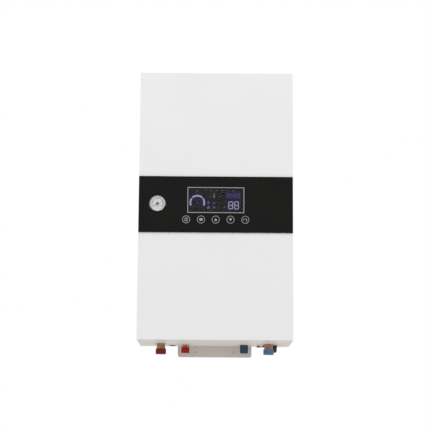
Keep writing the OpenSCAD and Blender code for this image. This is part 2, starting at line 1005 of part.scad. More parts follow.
module tank_jacket() {
    color(black) placed() difference() {
        tank_leg(tank_z + jacket_end, tank_top - jacket_end, jacket_r);
        tank_leg(tank_z, tank_top, jacket_in);
        leg([tank_x, tank_y, outlet_z], [tank_x - body_w, tank_y, outlet_z], stub_r + jacket_cut);
        vent_branch(vent_foot, vent_neck_r + jacket_cut);
        slab([tank_x - thermostat_w / 2 - jacket_cut, -body_d,
              thermostat_z - thermostat_h / 2 - jacket_cut],
             [tank_x + thermostat_w / 2 + jacket_cut, tank_y,
              thermostat_z + thermostat_h / 2 + jacket_cut]);
        for (share = mount_shares) {
            z = tank_z + share * tank_h;
            slab([tank_x - mount_w / 2 - jacket_cut, tank_y, z - mount_h / 2 - jacket_cut],
                 [tank_x + mount_w / 2 + jacket_cut, 0, z + mount_h / 2 + jacket_cut]);
        }
    }
}

// Three hairpin rods in a screwed hexagon head
module heating_elements() {
    color(brass) placed() {
        head_z = tank_top + neck_h;
        tank_leg(head_z - plug_h, head_z, neck_bore_r - gap);
        translate([tank_x, tank_y, head_z]) cylinder(r = head_r, h = head_h, $fn = 6);
        for (i = [0:rod_count - 1]) {
            x = tank_x + (i - (rod_count - 1) / 2) * rod_pitch;
            for (side = mirrored_sides()) {
                leg([x, tank_y + side * rod_half, head_z - rod_len],
                    [x, tank_y + side * rod_half, head_z + head_h + rod_stub], rod_r);
            }
            translate([x, tank_y, head_z - rod_len]) rotate([0, 90, 0]) rotate([0, 0, -90])
                rotate_extrude(angle = 180) translate([rod_half, 0]) circle(r = rod_r);
        }
    }
}

module limit_thermostat() {
    color(black) placed() difference() {
        slab([tank_x - thermostat_w / 2, thermostat_front, thermostat_z - thermostat_h / 2],
             [tank_x + thermostat_w / 2, tank_y, thermostat_z + thermostat_h / 2]);
        tank_leg(tank_z, tank_top, tank_r);
        thermostat_leg(thermostat_front - cut, thermostat_front + button_in + button_travel,
                       button_r + run);
    }
}

module thermostat_leg(from_y, to_y, r) {
    leg([tank_x, from_y, thermostat_z], [tank_x, to_y, thermostat_z], r);
}

module reset_button() {
    color(red) placed()
        thermostat_leg(thermostat_front - button_proud, thermostat_front + button_in - gap, button_r);
}

module air_vent() {
    color(brass) placed() {
        low = vent_at + [0, 0, vent_z];
        top = low + [0, 0, vent_h];
        leg(low, top, vent_r);
        leg(top, top + [0, 0, vent_screw_h], vent_screw_r);
    }
}

// Expansion vessel with its stud and charging valve

module expansion_vessel() {
    color(red) placed() translate([vessel_x, vessel_y, vessel_z]) {
        difference() {
            union() {
                rotate([90, 0, 0]) rotate_extrude($fn = 96) polygon(vessel_outline(0));
                leg([0, -vessel_rim_t / 2, 0], [0, vessel_rim_t / 2, 0], vessel_r);
                leg([0, 0, 0], [0, 0, -vessel_r - vessel_port_len], vessel_port_r);
            }
            rotate([90, 0, 0]) rotate_extrude($fn = 96) polygon(vessel_outline(vessel_wall));
            leg([0, 0, 0], [0, 0, -vessel_r - vessel_port_len - cut], vessel_port_r - 2 * vessel_wall);
        }
        leg([0, vessel_d / 2, 0], [0, -vessel_y - wall_space + nut_t, 0], vessel_stud_r);
        leg([0, -vessel_d / 2, 0], [0, -vessel_d / 2 - fill_valve_len, 0], fill_valve_r);
    }
}

// Half of the vessel's section, drawn in by the given thickness
function vessel_outline(inset) = [
    [0, -vessel_d / 2 + inset],
    [vessel_flat_share * vessel_r - inset, -vessel_d / 2 + inset],
    [vessel_r - vessel_rim - inset, -vessel_side_share * vessel_d / 2],
    [vessel_r - vessel_rim - inset, vessel_side_share * vessel_d / 2],
    [vessel_flat_share * vessel_r - inset, vessel_d / 2 - inset],
    [0, vessel_d / 2 - inset]
];

module vessel_pipe() {
    over_z = rise_z + vessel_pipe_over;
    color(copper) placed() pipes([[
        [vessel_x, vessel_y, vessel_z - vessel_r - vessel_port_len],
        [vessel_x, vessel_y, over_z],
        [vessel_pipe_x, vessel_y, over_z],
        [vessel_pipe_x, tank_y, over_z],
        [vessel_pipe_x, tank_y, rise_z + heating_pipe_r]
    ]], vessel_pipe_r, pipe_wall);
}

// Pump

module pump_volute() {
    color(steel) placed() translate([pump_x, 0, pump_z]) difference() {
        union() {
            leg([0, volute_front, 0], [0, volute_front + volute_d, 0], volute_r);
            leg([0, tank_y, -pump_span / 2], [0, tank_y, pump_span / 2], port_r);
        }
        leg([0, volute_front - cut, 0], [0, volute_front + chamber_d, 0], chamber_r);
        leg([0, tank_y, -pump_span / 2 - cut], [0, tank_y, pump_span / 2 + cut], port_bore_r);
        for (side = mirrored_sides()) {
            leg([0, tank_y, side * (pump_span / 2 - socket_depth)],
                [0, tank_y, side * (pump_span / 2 + cut)], heating_pipe_r + solder_gap);
        }
    }
}

module pump_motor() {
    color(black) placed() translate([pump_x, 0, pump_z]) difference() {
        union() {
            ring([0, motor_front, 0], [0, volute_front, 0], motor_r, motor_r - motor_wall);
            ring([0, motor_front + stator_t, 0], [0, motor_front + stator_t + stator_len, 0],
                 motor_r - motor_wall + run, motor_r - motor_wall - stator_t);
            leg([0, motor_front, 0], [0, motor_front + motor_wall, 0], motor_r);
            leg([0, volute_front - motor_wall, 0], [0, volute_front, 0], motor_r);
            leg([0, motor_front, 0], [0, motor_front + bearing_len, 0], bearing_r);
            leg([0, volute_front - bearing_len, 0], [0, volute_front, 0], bearing_r);
            slab([-motor_r - wire_box_w, motor_front + motor_wall, -wire_box_h / 2],
                 [-motor_r + motor_wall, motor_front + motor_wall + wire_box_d, wire_box_h / 2]);
        }
        leg([0, motor_front + motor_wall, 0], [0, volute_front + cut, 0], shaft_r + run);
        ring([0, motor_front + stator_t, 0], [0, motor_front + stator_t + stator_len, 0],
             motor_r - motor_wall - stator_t, shaft_r);
    }
}

module pump_rotor() {
    color(steel) placed() translate([pump_x, 0, pump_z]) {
        rotor_from = motor_front + stator_t;
        plate_y = volute_front + chamber_d - impeller_gap;
        leg([0, motor_front + motor_wall + gap, 0], [0, plate_y, 0], shaft_r);
        leg([0, rotor_from, 0], [0, rotor_from + stator_len, 0], rotor_r);
        leg([0, plate_y - impeller_plate, 0], [0, plate_y, 0], impeller_r);
        for (i = [0:vane_count - 1]) {
            rotate([0, i * 360 / vane_count, 0])
                slab([shaft_r / 2, plate_y - impeller_t, -vane_t / 2],
                     [impeller_r - vane_t, plate_y - impeller_plate, vane_t / 2]);
        }
    }
}

// The cross rail, the heating vessel's two brackets and the heat exchanger's bracket
module equipment_brackets() {
    color(steel) placed() {
        slab([-in_x, housing_back, gauge_z - rail_h / 2],
             [in_x, housing_back + sheet_t, gauge_z + rail_h / 2]);
        for (side = mirrored_sides()) {
            edge = gauge_z + side * rail_h / 2;
            slab([-in_x, housing_back, min(edge, edge - side * sheet_t)],
                 [in_x, housing_back + rail_lip, max(edge, edge - side * sheet_t)]);
        }
        difference() {
            for (share = mount_shares) {
                z = tank_z + share * tank_h;
                slab([tank_x - mount_w / 2, tank_y, z - mount_h / 2],
                     [tank_x + mount_w / 2, back_front, z + mount_h / 2]);
            }
            tank_leg(tank_z, tank_top, tank_r);
        }
        slab([hx_x - mount_w / 2, hx_mid_y + hx_w / 2, hx_z + hx_h / 2 - hx_mount_h / 2],
             [hx_x + mount_w / 2, back_front, hx_z + hx_h / 2 + hx_mount_h / 2]);
    }
}

// Diverter valve

module diverter_body() {
    color(brass) placed() translate([diverter_x, 0, diverter_z]) difference() {
        union() {
            leg([0, diverter_front, 0], [0, diverter_front + diverter_body_d, 0], diverter_body_r);
            leg([0, tank_y, -diverter_half], [0, tank_y, diverter_half], diverter_tube_r);
            leg([0, tank_y, 0], [diverter_branch, tank_y, 0], diverter_tube_r);
        }
        leg([0, diverter_front + diverter_end, 0],
            [0, diverter_front + diverter_body_d - diverter_end, 0], chamber_plug_r);
        leg([0, diverter_front - cut, 0], [0, diverter_front + diverter_end + cut, 0],
            plug_shaft_r + run);
        leg([0, tank_y, -diverter_half - cut], [0, tank_y, diverter_half + cut], port_bore_r);
        leg([0, tank_y, 0], [diverter_branch + cut, tank_y, 0], port_bore_r);
        for (way = [[0, 0, -diverter_half], [0, 0, diverter_half], [diverter_branch, 0, 0]]) {
            centre = [0, tank_y, 0];
            leg(centre + way - socket_depth * unit(way), centre + way + cut * unit(way),
                heating_pipe_r + solder_gap);
        }
    }
}

module diverter_actuator() {
    color(black) placed() translate([diverter_x, 0, diverter_z]) difference() {
        slab([-actuator_w / 2, diverter_front - gap - actuator_d, -actuator_h / 2],
             [actuator_w / 2, diverter_front - gap, actuator_h / 2]);
        leg([0, diverter_front, 0], [0, diverter_front - 2 * gap - plug_shaft_in, 0],
            plug_shaft_r + run);
    }
}

// A shaft, a disc and a curved shutter that closes one outlet at a time
module diverter_plug() {
    plug_r = chamber_plug_r - run;
    plug_from = diverter_front + diverter_end + run;
    plug_to = diverter_front + diverter_body_d - diverter_end - run;
    color(steel) placed() translate([diverter_x, 0, diverter_z]) {
        leg([0, diverter_front - gap - plug_shaft_in, 0], [0, plug_from + plug_disc, 0], plug_shaft_r);
        leg([0, plug_from, 0], [0, plug_from + plug_disc, 0], plug_r);
        intersection() {
            leg([0, plug_from, 0], [0, plug_to, 0], plug_r);
            slab([chamber_plug_r - plug_face, plug_from, -plug_r], [plug_r, plug_to, plug_r]);
        }
    }
}

module heat_exchanger() {
    color(steel) placed() difference() {
        union() {
            slab([hx_face_x, hx_mid_y - hx_w / 2 + hx_lip, hx_z + hx_lip],
                 [hx_face_x + hx_t, hx_mid_y + hx_w / 2 - hx_lip, hx_z + hx_h - hx_lip]);
            for (i = [0:hx_plates - 1]) {
                x = hx_face_x + i * (hx_t - hx_plate_t) / (hx_plates - 1);
                slab([x, hx_mid_y - hx_w / 2, hx_z],
                     [x + hx_plate_t, hx_mid_y + hx_w / 2, hx_z + hx_h]);
            }
            hx_ports(hx_port_x, hx_face_x, socket_wall);
        }
        hx_ports(hx_port_x - cut, hx_face_x + hx_t / 2, -pipe_wall);
        hx_ports(hx_port_x - cut, hx_port_x + socket_depth, solder_gap);
    }
}

// The exchanger's four ports between two planes, each pipe's radius made larger by extra
module hx_ports(from_x, to_x, extra) {
    for (z = [hx_low_z, hx_high_z]) {
        leg([from_x, hx_front_y, z], [to_x, hx_front_y, z], heating_pipe_r + extra);
        leg([from_x, hx_rear_y, z], [to_x, hx_rear_y, z], water_pipe_r + extra);
    }
}

// Relief valve with an arm from the flow pipe and an outlet over the drain

module relief_valve() {
    way = unit([drain_x - diverter_x, drain_y - tank_y, 0]);
    arm = [diverter_x, tank_y, relief_z] + heating_pipe_r * way;
    color(brass) placed() difference() {
        union() {
            relief_leg(relief_z - relief_half, relief_z + relief_half, relief_r);
            relief_leg(relief_z - relief_half - relief_outlet, relief_z, relief_outlet_r);
            leg(arm, [drain_x, drain_y, relief_z], relief_arm_r);
        }
        relief_leg(relief_z - relief_half - relief_outlet - cut, relief_z, relief_bore_r);
        relief_leg(relief_z - relief_half - relief_outlet - cut,
                   relief_z - relief_half - relief_outlet + socket_depth, water_pipe_r + solder_gap);
        relief_leg(relief_z + relief_half - relief_shaft_in, relief_z + relief_half + cut,
                   relief_shaft_r + run);
    }
}

module relief_leg(from_z, to_z, r) {
    leg([drain_x, drain_y, from_z], [drain_x, drain_y, to_z], r);
}

module relief_knob() {
    low = relief_z + relief_half + relief_knob_gap;
    color(red) placed() {
        relief_leg(relief_z + relief_half - relief_shaft_in + gap, low, relief_shaft_r);
        difference() {
            relief_leg(low, low + relief_knob_t, relief_knob_r);
            for (i = [0:relief_lobes - 1]) {
                translate([drain_x, drain_y, low]) rotate([0, 0, i * 360 / relief_lobes])
                    leg([relief_knob_r, 0, -cut], [relief_knob_r, 0, relief_knob_t + cut],
                        relief_grip_r);
            }
        }
    }
}

// Flow sensor and its turbine

module flow_sensor() {
    color(black) placed() translate([water_port_x, -water_port_d, sensor_z]) {
        difference() {
            union() {
                cylinder(r = sensor_r, h = sensor_h);
                slab([-pickup[0] / 2, -sensor_r - pickup[1] / 2, sensor_h / 2 - pickup[2] / 2],
                     [pickup[0] / 2, -sensor_r / 2, sensor_h / 2 + pickup[2] / 2]);
            }
            translate([0, 0, sensor_end]) cylinder(r = turbine_r + turbine_gap, h = sensor_h - 2 * sensor_end);
            translate([0, 0, -cut]) cylinder(r = water_pipe_r - pipe_wall, h = sensor_h + 2 * cut);
            for (z = [-cut, sensor_h - socket_depth]) {
                translate([0, 0, z]) cylinder(r = water_pipe_r + solder_gap, h = socket_depth + cut);
            }
        }
        for (z = [sensor_end, sensor_h - sensor_end - spider_h]) {
            translate([0, 0, z]) sensor_spider();
        }
    }
}

// A cross that carries one end of the turbine's axle
module sensor_spider() {
    reach = turbine_r + turbine_gap;
    difference() {
        union() {
            cylinder(r = turbine_hub_r, h = spider_h);
            slab([-reach, -spider_t / 2, 0], [reach, spider_t / 2, spider_h]);
            slab([-spider_t / 2, -reach, 0], [spider_t / 2, reach, spider_h]);
        }
        translate([0, 0, -cut]) cylinder(r = axle_r + run, h = spider_h + 2 * cut);
    }
}

module flow_turbine() {
    color(white) placed() translate([water_port_x, -water_port_d, sensor_z + sensor_h / 2]) {
        translate([0, 0, -axle_len / 2]) cylinder(r = axle_r, h = axle_len);
        translate([0, 0, -turbine_h / 2 + gap]) cylinder(r = turbine_hub_r, h = turbine_h - 2 * gap);
        for (i = [0:blade_count - 1]) {
            rotate([0, 0, i * 360 / blade_count])
                slab([0, -blade_t / 2, -turbine_h / 2 + gap], [turbine_r, blade_t / 2, turbine_h / 2 - gap]);
        }
    }
}

// Pipes

// Flow from the vessel to the diverter, return with its tee to the pump, and pump to vessel
module heating_pipes() {
    socket_z = nipple_top - socket_depth;
    color(copper) placed() pipes([
        [
            [tank_x - tank_r - stub_len + socket_depth, tank_y, outlet_z],
            [lane_x, tank_y, outlet_z],
            [lane_x, tank_y, feed_z],
            [diverter_x, tank_y, feed_z],
            [diverter_x, tank_y, diverter_z + diverter_half - socket_depth]
        ],
        [
            [diverter_x, tank_y, diverter_z - diverter_half + socket_depth],
            [diverter_x, tank_y, socket_z]
        ],
        [
            [heating_port_x, tank_y, socket_z],
            [heating_port_x, tank_y, return_z],
            [pump_x, tank_y, return_z],
            [pump_x, tank_y, pump_z - pump_span / 2 + socket_depth]
        ],
        [
            [hx_port_x + socket_depth, hx_front_y, hx_low_z],
            [tee_x, hx_front_y, hx_low_z],
            [tee_x, hx_front_y, return_z]
        ],
        [
            [pump_x, tank_y, pump_z + pump_span / 2 - socket_depth],
            [pump_x, tank_y, rise_z],
            [tank_x, tank_y, rise_z],
            [tank_x, tank_y, tank_z]
        ]
    ], heating_pipe_r, pipe_wall);
}

module exchanger_pipe() {
    branch_x = diverter_x + diverter_branch + branch_in;
    color(copper) placed() pipes([[
        [diverter_x + diverter_branch - socket_depth, tank_y, diverter_z],
        [branch_x, tank_y, diverter_z],
        [branch_x, front_lane_y, diverter_z],
        [riser_x, front_lane_y, diverter_z],
        [riser_x, front_lane_y, hx_high_z],
        [riser_x, hx_front_y, hx_high_z],
        [hx_port_x + socket_depth, hx_front_y, hx_high_z]
    ]], heating_pipe_r, pipe_wall);
}

// Hot outlet, cold inlet below and above the flow sensor, and the relief valve's drain
module water_pipes() {
    socket_z = nipple_top - socket_depth;
    color(copper) placed() pipes([
        [
            [hx_port_x + socket_depth, hx_rear_y, hx_high_z],
            [-water_port_x, hx_rear_y, hx_high_z],
            [-water_port_x, hx_rear_y, socket_z]
        ],
        [[water_port_x, hx_rear_y, socket_z], [water_port_x, hx_rear_y, sensor_z + socket_depth]],
        [
            [water_port_x, hx_rear_y, sensor_z + sensor_h - socket_depth],
            [water_port_x, hx_rear_y, hx_low_z],
            [hx_port_x + socket_depth, hx_rear_y, hx_low_z]
        ],
        [
            [drain_x, drain_y, relief_z - relief_half - relief_outlet + socket_depth],
            [drain_x, drain_y, sheet_t + grommet_t]
        ]
    ], water_pipe_r, pipe_wall);
}

// Threaded brass connections through the base

module pipe_nipples() {
    color(brass) placed() for (side = mirrored_sides()) {
        nipple([side * heating_port_x, -heating_port_d, 0], heating_thread_r, heating_bore_r,
               heating_pipe_r, heating_drop);
        nipple([side * water_port_x, -water_port_d, 0], water_thread_r, water_bore_r,
               water_pipe_r, water_drop);
    }
}

module nipple(at, thread_r, bore_r, pipe_r, drop) {
    translate(at) difference() {
        union() {
            translate([0, 0, -drop]) cylinder(r = thread_r, h = drop + sheet_t);
            translate([0, 0, sheet_t]) cylinder(r = thread_r + nipple_hex_extra, h = nipple_hex_h, $fn = 6);
            translate([0, 0, sheet_t]) cylinder(r = pipe_r + socket_wall, h = nipple_hex_h + nipple_up);
        }
        translate([0, 0, -drop - cut]) cylinder(r = bore_r, h = drop + nipple_top + 2 * cut);
        translate([0, 0, nipple_top - socket_depth])
            cylinder(r = pipe_r + solder_gap, h = socket_depth + cut);
    }
}

module heating_flow_cap() {
    color(red) placed() pipe_cap([-heating_port_x, -heating_port_d, -heating_drop],
                                 heating_thread_r, heating_cap_wall, heating_cap_h);
}

module hot_water_cap() {
    color(red) placed() pipe_cap([-water_port_x, -water_port_d, -water_drop],
                                 water_thread_r, water_cap_wall, water_cap_h);
}

module cold_water_cap() {
    color("navy") placed() pipe_cap([water_port_x, -water_port_d, -water_drop],
                                    water_thread_r, water_cap_wall, cold_cap_h);
}

module heating_return_cap() {
    color("steelblue") placed() pipe_cap([heating_port_x, -heating_port_d, -heating_drop],
                                         heating_thread_r, heating_cap_wall, heating_cap_h);
}

// A closed plastic cap pushed over a thread from below
module pipe_cap(at, thread_r, wall, cap_h) {
    inner_r = thread_r + cap_slack;
    translate(at - [0, 0, cap_seat + cap_end]) difference() {
        cylinder(r = inner_r + wall, h = cap_h);
        translate([0, 0, cap_end]) cylinder(r = inner_r, h = cap_h);
    }
}

module cable_gland() {
    color(black) placed() translate([gland_x, gland_y, 0]) difference() {
        union() {
            translate([0, 0, -gland_hex_h]) cylinder(r = gland_r + gland_taper / 2, h = gland_hex_h, $fn = 6);
            translate([0, 0, -gland_drop + gland_taper])
                cylinder(r = gland_r, h = gland_drop - gland_taper - gland_hex_h);
            translate([0, 0, -gland_drop]) cylinder(r1 = gland_tip_r, r2 = gland_r, h = gland_taper);
            cylinder(r = gland_thread_r, h = sheet_t + gland_up);
            translate([0, 0, sheet_t]) cylinder(r = gland_r + gland_taper / 2, h = gland_nut_h, $fn = 6);
        }
        translate([0, 0, -gland_drop - cut])
            cylinder(r = gland_bore_r, h = gland_drop + sheet_t + gland_up + 2 * cut);
    }
}

module drain_grommet() {
    hole_r = grommet_r - grommet_lip;
    color(black) placed() translate([drain_x, drain_y, 0]) difference() {
        union() {
            translate([0, 0, -grommet_t]) cylinder(r = grommet_r, h = grommet_t);
            cylinder(r = hole_r, h = sheet_t);
            translate([0, 0, sheet_t]) cylinder(r = grommet_r, h = grommet_t);
        }
        translate([0, 0, -grommet_t - cut]) cylinder(r = grommet_bore_r, h = sheet_t + 2 * grommet_t + 2 * cut);
    }
}

// Filling tap between the cold inlet and the heating return

module fill_tap() {
    arm_z = nipple_top + sensor_gap / 2;
    color(brass) placed() difference() {
        union() {
            tap_leg(tap_low, return_z + tap_over, tap_r);
            tap_leg(sheet_t, tap_low, tap_foot_r);
            leg([tap_x, tap_y, arm_z], [water_port_x + water_pipe_r, tap_y, arm_z], tap_arm_r);
            leg([tap_x, tap_y, return_z],
                [tap_x, tank_y + heating_pipe_r + elbow_extra, return_z], tap_arm_r);
        }
        tap_leg(0, tap_low + tap_spindle_in, tap_spindle_r + run);
    }
}

module tap_leg(from_z, to_z, r) {
    leg([tap_x, tap_y, from_z], [tap_x, tap_y, to_z], r);
}

module fill_tap_lever() {
    knob = [tap_x - tap_lever_len, tap_y, tap_lever_z - seam];
    color(brass) placed() {
        tap_leg(tap_lever_z, tap_low + tap_spindle_in - gap, tap_spindle_r);
        slab([tap_x - tap_lever_len, tap_y - tap_lever_w / 2, tap_lever_z],
             [tap_x, tap_y + tap_lever_w / 2, tap_lever_z + tap_lever_t]);
        leg(knob, knob + [0, 0, tap_knob_h], tap_knob_r);
    }
}

// Electrical panel

module electrical_panel() {
    color(steel) placed() {
        slab([panel_left, panel_front, panel_low], [panel_right, panel_y, panel_high]);
        slab([panel_left + bar_inset, bar_front, bar_z - bar_h / 2],
             [panel_right - bar_inset, panel_front, bar_z + bar_h / 2]);
        for (x = [panel_left + stand_inset, panel_right - stand_inset]) {
            for (z = [panel_low + stand_inset, panel_high - stand_inset]) {
                leg([x, back_front, z], [x, panel_y, z], stand_r);
            }
        }
    }
}

module breaker() {
    color(white) placed() difference() {
        slab([breaker_x - breaker_w / 2, breaker_front, bar_z - module_h / 2],
             [breaker_x + breaker_w / 2, bar_front, bar_z + module_h / 2]);
        leg([breaker_x - toggle_w / 2 - gap, breaker_front, bar_z],
            [breaker_x + toggle_w / 2 + gap, breaker_front, bar_z], toggle_r + 2 * gap);
    }
}

// The drum and lever, at rest raised to its on position
module breaker_toggle() {
    color(black) placed() translate([breaker_x, breaker_front, bar_z]) {
        leg([-toggle_w / 2, 0, 0], [toggle_w / 2, 0, 0], toggle_r);
        rotate([-toggle_up, 0, 0])
            slab([-toggle_w / 2, -toggle_len, -toggle_t / 2], [toggle_w / 2, 0, toggle_t / 2]);
    }
}

module contactor() {
    color(black) placed() difference() {
        slab([contactor_x - contactor_w / 2, contactor_front, bar_z - module_h / 2],
             [contactor_x + contactor_w / 2, bar_front, bar_z + module_h / 2]);
        contactor_leg(contactor_front - cut, contactor_front + plunger_in + plunger_travel,
                      plunger_r + run);
    }
}

module contactor_leg(from_y, to_y, r) {
    leg([contactor_x, from_y, bar_z], [contactor_x, to_y, bar_z], r);
}

module contactor_plunger() {
    color(white) placed()
        contactor_leg(contactor_front - plunger_proud, contactor_front + plunger_in - gap, plunger_r);
}

module terminal_block() {
    terminal_front = bar_front - terminal_d;
    pitch = terminal_w / terminal_poles;
    color("gray") placed() {
        slab([terminal_x - terminal_w / 2, terminal_front, bar_z - terminal_h / 2],
             [terminal_x + terminal_w / 2, bar_front, bar_z + terminal_h / 2]);
        for (i = [0:terminal_poles - 1]) {
            x = terminal_x + (i - (terminal_poles - 1) / 2) * pitch;
            leg([x, terminal_front - terminal_screw_t, bar_z], [x, terminal_front, bar_z],
                terminal_screw_r);
        }
    }
}

// The power board on its stand-offs with relays and a finned heat sink
module power_board() {
    power_right = power_left + power_w;
    board_y = power_back - board_t;
    color("darkgreen") placed() {
        slab([power_left, board_y, power_z], [power_right, power_back, power_z + power_h]);
        for (x = [power_left + relay_inset, power_right - relay_inset]) {
            for (z = [power_z + relay_inset, power_z + power_h - relay_inset]) {
                leg([x, power_back, z], [x, panel_front, z], post_r);
            }
        }
        for (i = [0:relay_count - 1]) {
            translate([power_left + relay_inset + i * relay_pitch, board_y - relay[1], power_z + relay_inset])
                cube(relay);
        }
        sink_x = power_right - relay_inset - sink_w;
        slab([sink_x, board_y - fin_base, power_z + relay_inset],
             [sink_x + sink_w, board_y, power_z + relay_inset + sink_h]);
        for (i = [0:fin_count - 1]) {
            x = sink_x + i * (sink_w - fin_t) / (fin_count - 1);
            slab([x, board_y - sink_d, power_z + relay_inset],
                 [x + fin_t, board_y, power_z + relay_inset + sink_h]);
        }
    }
}

// Heater leads, control cable, pump cable and diverter cable
module wiring_harness() {
    head_top = tank_top + neck_h + head_h + rod_stub;
    lead_y = contactor_front / 2 + bar_front / 2;
    lead_z = bar_z + module_h / 2 + lead_over;
    wire_y = motor_front + motor_wall + wire_box_d / 2;
    box_z = pump_z + wire_box_h / 2;
    board_y = power_back - board_t - wire_r;
    color(black) placed() {
        harness_run([
            [contactor_x, lead_y, bar_z + module_h / 2],
            [contactor_x, lead_y, lead_z],
            [tank_x, lead_y, lead_z],
            [tank_x, tank_y - rod_half, lead_z],
            [tank_x, tank_y - rod_half, head_top]
        ], lead_r);
        harness_run([
            [0, board_y, power_z + wire_turn],
            [0, board_y, panel_low - wire_turn],
            [0, housing_back - wire_turn, panel_low - wire_turn],
            [0, housing_back - wire_turn, housing_high]
        ], wire_r);
        harness_run([
            [wire_x, wire_y, box_z],
            [wire_x, wire_y, panel_low - wire_turn],
            [power_left + wire_turn, wire_y, panel_low - wire_turn],
            [power_left + wire_turn, board_y, panel_low - wire_turn],
            [power_left + wire_turn, board_y, power_z + wire_turn - wire_r]
        ], wire_r);
        harness_run([
            [diverter_x + actuator_w / 2, wire_y, diverter_z],
            [wire_x, wire_y, diverter_z],
            [wire_x, wire_y, pump_z - wire_box_h / 2]
        ], wire_r);
    }
}

module harness_run(points, r) {
    run_along(points, r, r + bore_extra);
}

back_plate();
side_panels();
top_panel();
base_panel();
wall_bracket();
lower_bracket();
case_fasteners();
front_cover();
cover_screws();
control_glass();
glass_tape();
glass_markings();
control_housing();
control_board();
lcd_module();
gauge_case();
gauge_lens();
gauge_dial();
gauge_needle();
gauge_capillary();
heating_tank();
tank_jacket();
heating_elements();
limit_thermostat();
reset_button();
air_vent();
expansion_vessel();
vessel_pipe();
pump_volute();
pump_motor();
pump_rotor();
equipment_brackets();
diverter_body();
diverter_actuator();
diverter_plug();
heat_exchanger();
relief_valve();
relief_knob();
flow_sensor();
flow_turbine();
heating_pipes();
exchanger_pipe();
water_pipes();
pipe_nipples();
heating_flow_cap();
hot_water_cap();
cold_water_cap();
heating_return_cap();
cable_gland();
drain_grommet();
fill_tap();
fill_tap_lever();
electrical_panel();
breaker();
breaker_toggle();
contactor();
contactor_plunger();
terminal_block();
power_board();
wiring_harness();
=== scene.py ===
"""Looks of the wall-hung electric combi boiler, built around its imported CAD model."""
import json
import math

import bmesh
import bpy
from mathutils import Matrix, Vector


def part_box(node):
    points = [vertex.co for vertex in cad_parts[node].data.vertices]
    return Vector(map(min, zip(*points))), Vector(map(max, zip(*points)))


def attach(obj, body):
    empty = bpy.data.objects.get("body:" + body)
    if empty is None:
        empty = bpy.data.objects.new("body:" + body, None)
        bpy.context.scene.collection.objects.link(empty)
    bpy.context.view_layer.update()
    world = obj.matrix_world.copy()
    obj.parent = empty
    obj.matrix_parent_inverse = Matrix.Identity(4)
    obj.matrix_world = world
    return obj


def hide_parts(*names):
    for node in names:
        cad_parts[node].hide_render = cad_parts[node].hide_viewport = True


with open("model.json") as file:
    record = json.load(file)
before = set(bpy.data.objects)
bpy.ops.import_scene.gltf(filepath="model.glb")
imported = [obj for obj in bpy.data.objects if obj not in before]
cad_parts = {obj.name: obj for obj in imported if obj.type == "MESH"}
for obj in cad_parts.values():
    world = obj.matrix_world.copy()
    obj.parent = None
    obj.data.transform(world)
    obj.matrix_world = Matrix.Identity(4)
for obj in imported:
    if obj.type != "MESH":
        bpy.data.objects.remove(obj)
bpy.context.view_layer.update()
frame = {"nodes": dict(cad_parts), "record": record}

# Shapes are in millimetres of the casing's frame. Its origin lies at the wall, below the casing's middle
MM = 0.001
CASE_TO_ROW = -0.700
LEFT, RIGHT = Vector((-1, 0, 0)), Vector((1, 0, 0))
FRONT, BACK = Vector((0, -1, 0)), Vector((0, 1, 0))
DOWN, UP = Vector((0, 0, -1)), Vector((0, 0, 1))
BOTH = (-1, 1)
CORNERS = [(side, up) for side in BOTH for up in BOTH]

SLOTS = {part["node"]: part["material_slot"] for part in frame["record"]["subparts"]}
BODIES = {node: body for body, nodes in frame["record"]["behaviour"]["bodies"].items() for node in nodes}


def vec(x, y, z):
    return Vector((x, y, z))


def row(point):
    """A point of the casing's frame, as a point of the row frame in metres."""
    return vec(point[0] * MM, point[1] * MM, point[2] * MM + CASE_TO_ROW)


def box_of(node):
    return [vec(p.x / MM, p.y / MM, (p.z - CASE_TO_ROW) / MM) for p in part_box(node)]


def middle(node):
    low, high = box_of(node)
    return (low + high) / 2


# Camera, in metres

def place_camera():
    at = vec(-0.00947, -4.19686, -1.03123)
    yaw, pitch, roll = 0.00184708, 0.17399742, 0.00699922
    ahead = vec(math.sin(yaw) * math.cos(pitch), math.cos(yaw) * math.cos(pitch), math.sin(pitch))
    level = vec(math.cos(yaw), -math.sin(yaw), 0)
    above = level.cross(ahead)
    right = math.cos(roll) * level + math.sin(roll) * above
    up = -math.sin(roll) * level + math.cos(roll) * above
    data = bpy.data.cameras.new("camera")
    data.sensor_width = 36
    data.lens = 115.3
    data.clip_end = 50
    camera = bpy.data.objects.new("camera", data)
    camera.matrix_world = Matrix.Translation(at) @ Matrix((right, up, -ahead)).transposed().to_4x4()
    bpy.context.scene.collection.objects.link(camera)
    bpy.context.scene.camera = camera


# Light, in metres and watts

WORLD_FILL = 0.74
FLOOR_Z = -1.55
LAMPS = (
    ("key_lamp", (-2.2, -3.4, 2.2), 2.2, 53),
    ("fill_lamp", (2.8, -3.0, 0.6), 2.6, 24),
    ("back_lamp", (0.6, 3.0, 1.6), 2.4, 30),
)
LAMPS_AIM = vec(0, 0, -0.3)


def add_node(tree, kind, **values):
    """A shader node. Each value goes to the input of that name, or else to the node's own setting."""
    node = tree.nodes.new("ShaderNode" + kind)
    for name, value in values.items():
        socket = node.inputs.get(name.replace("_", " "))
        if socket is None:
            setattr(node, name, value)
        elif isinstance(value, bpy.types.NodeSocket):
            tree.links.new(value, socket)
        else:
            socket.default_value = value
    return node


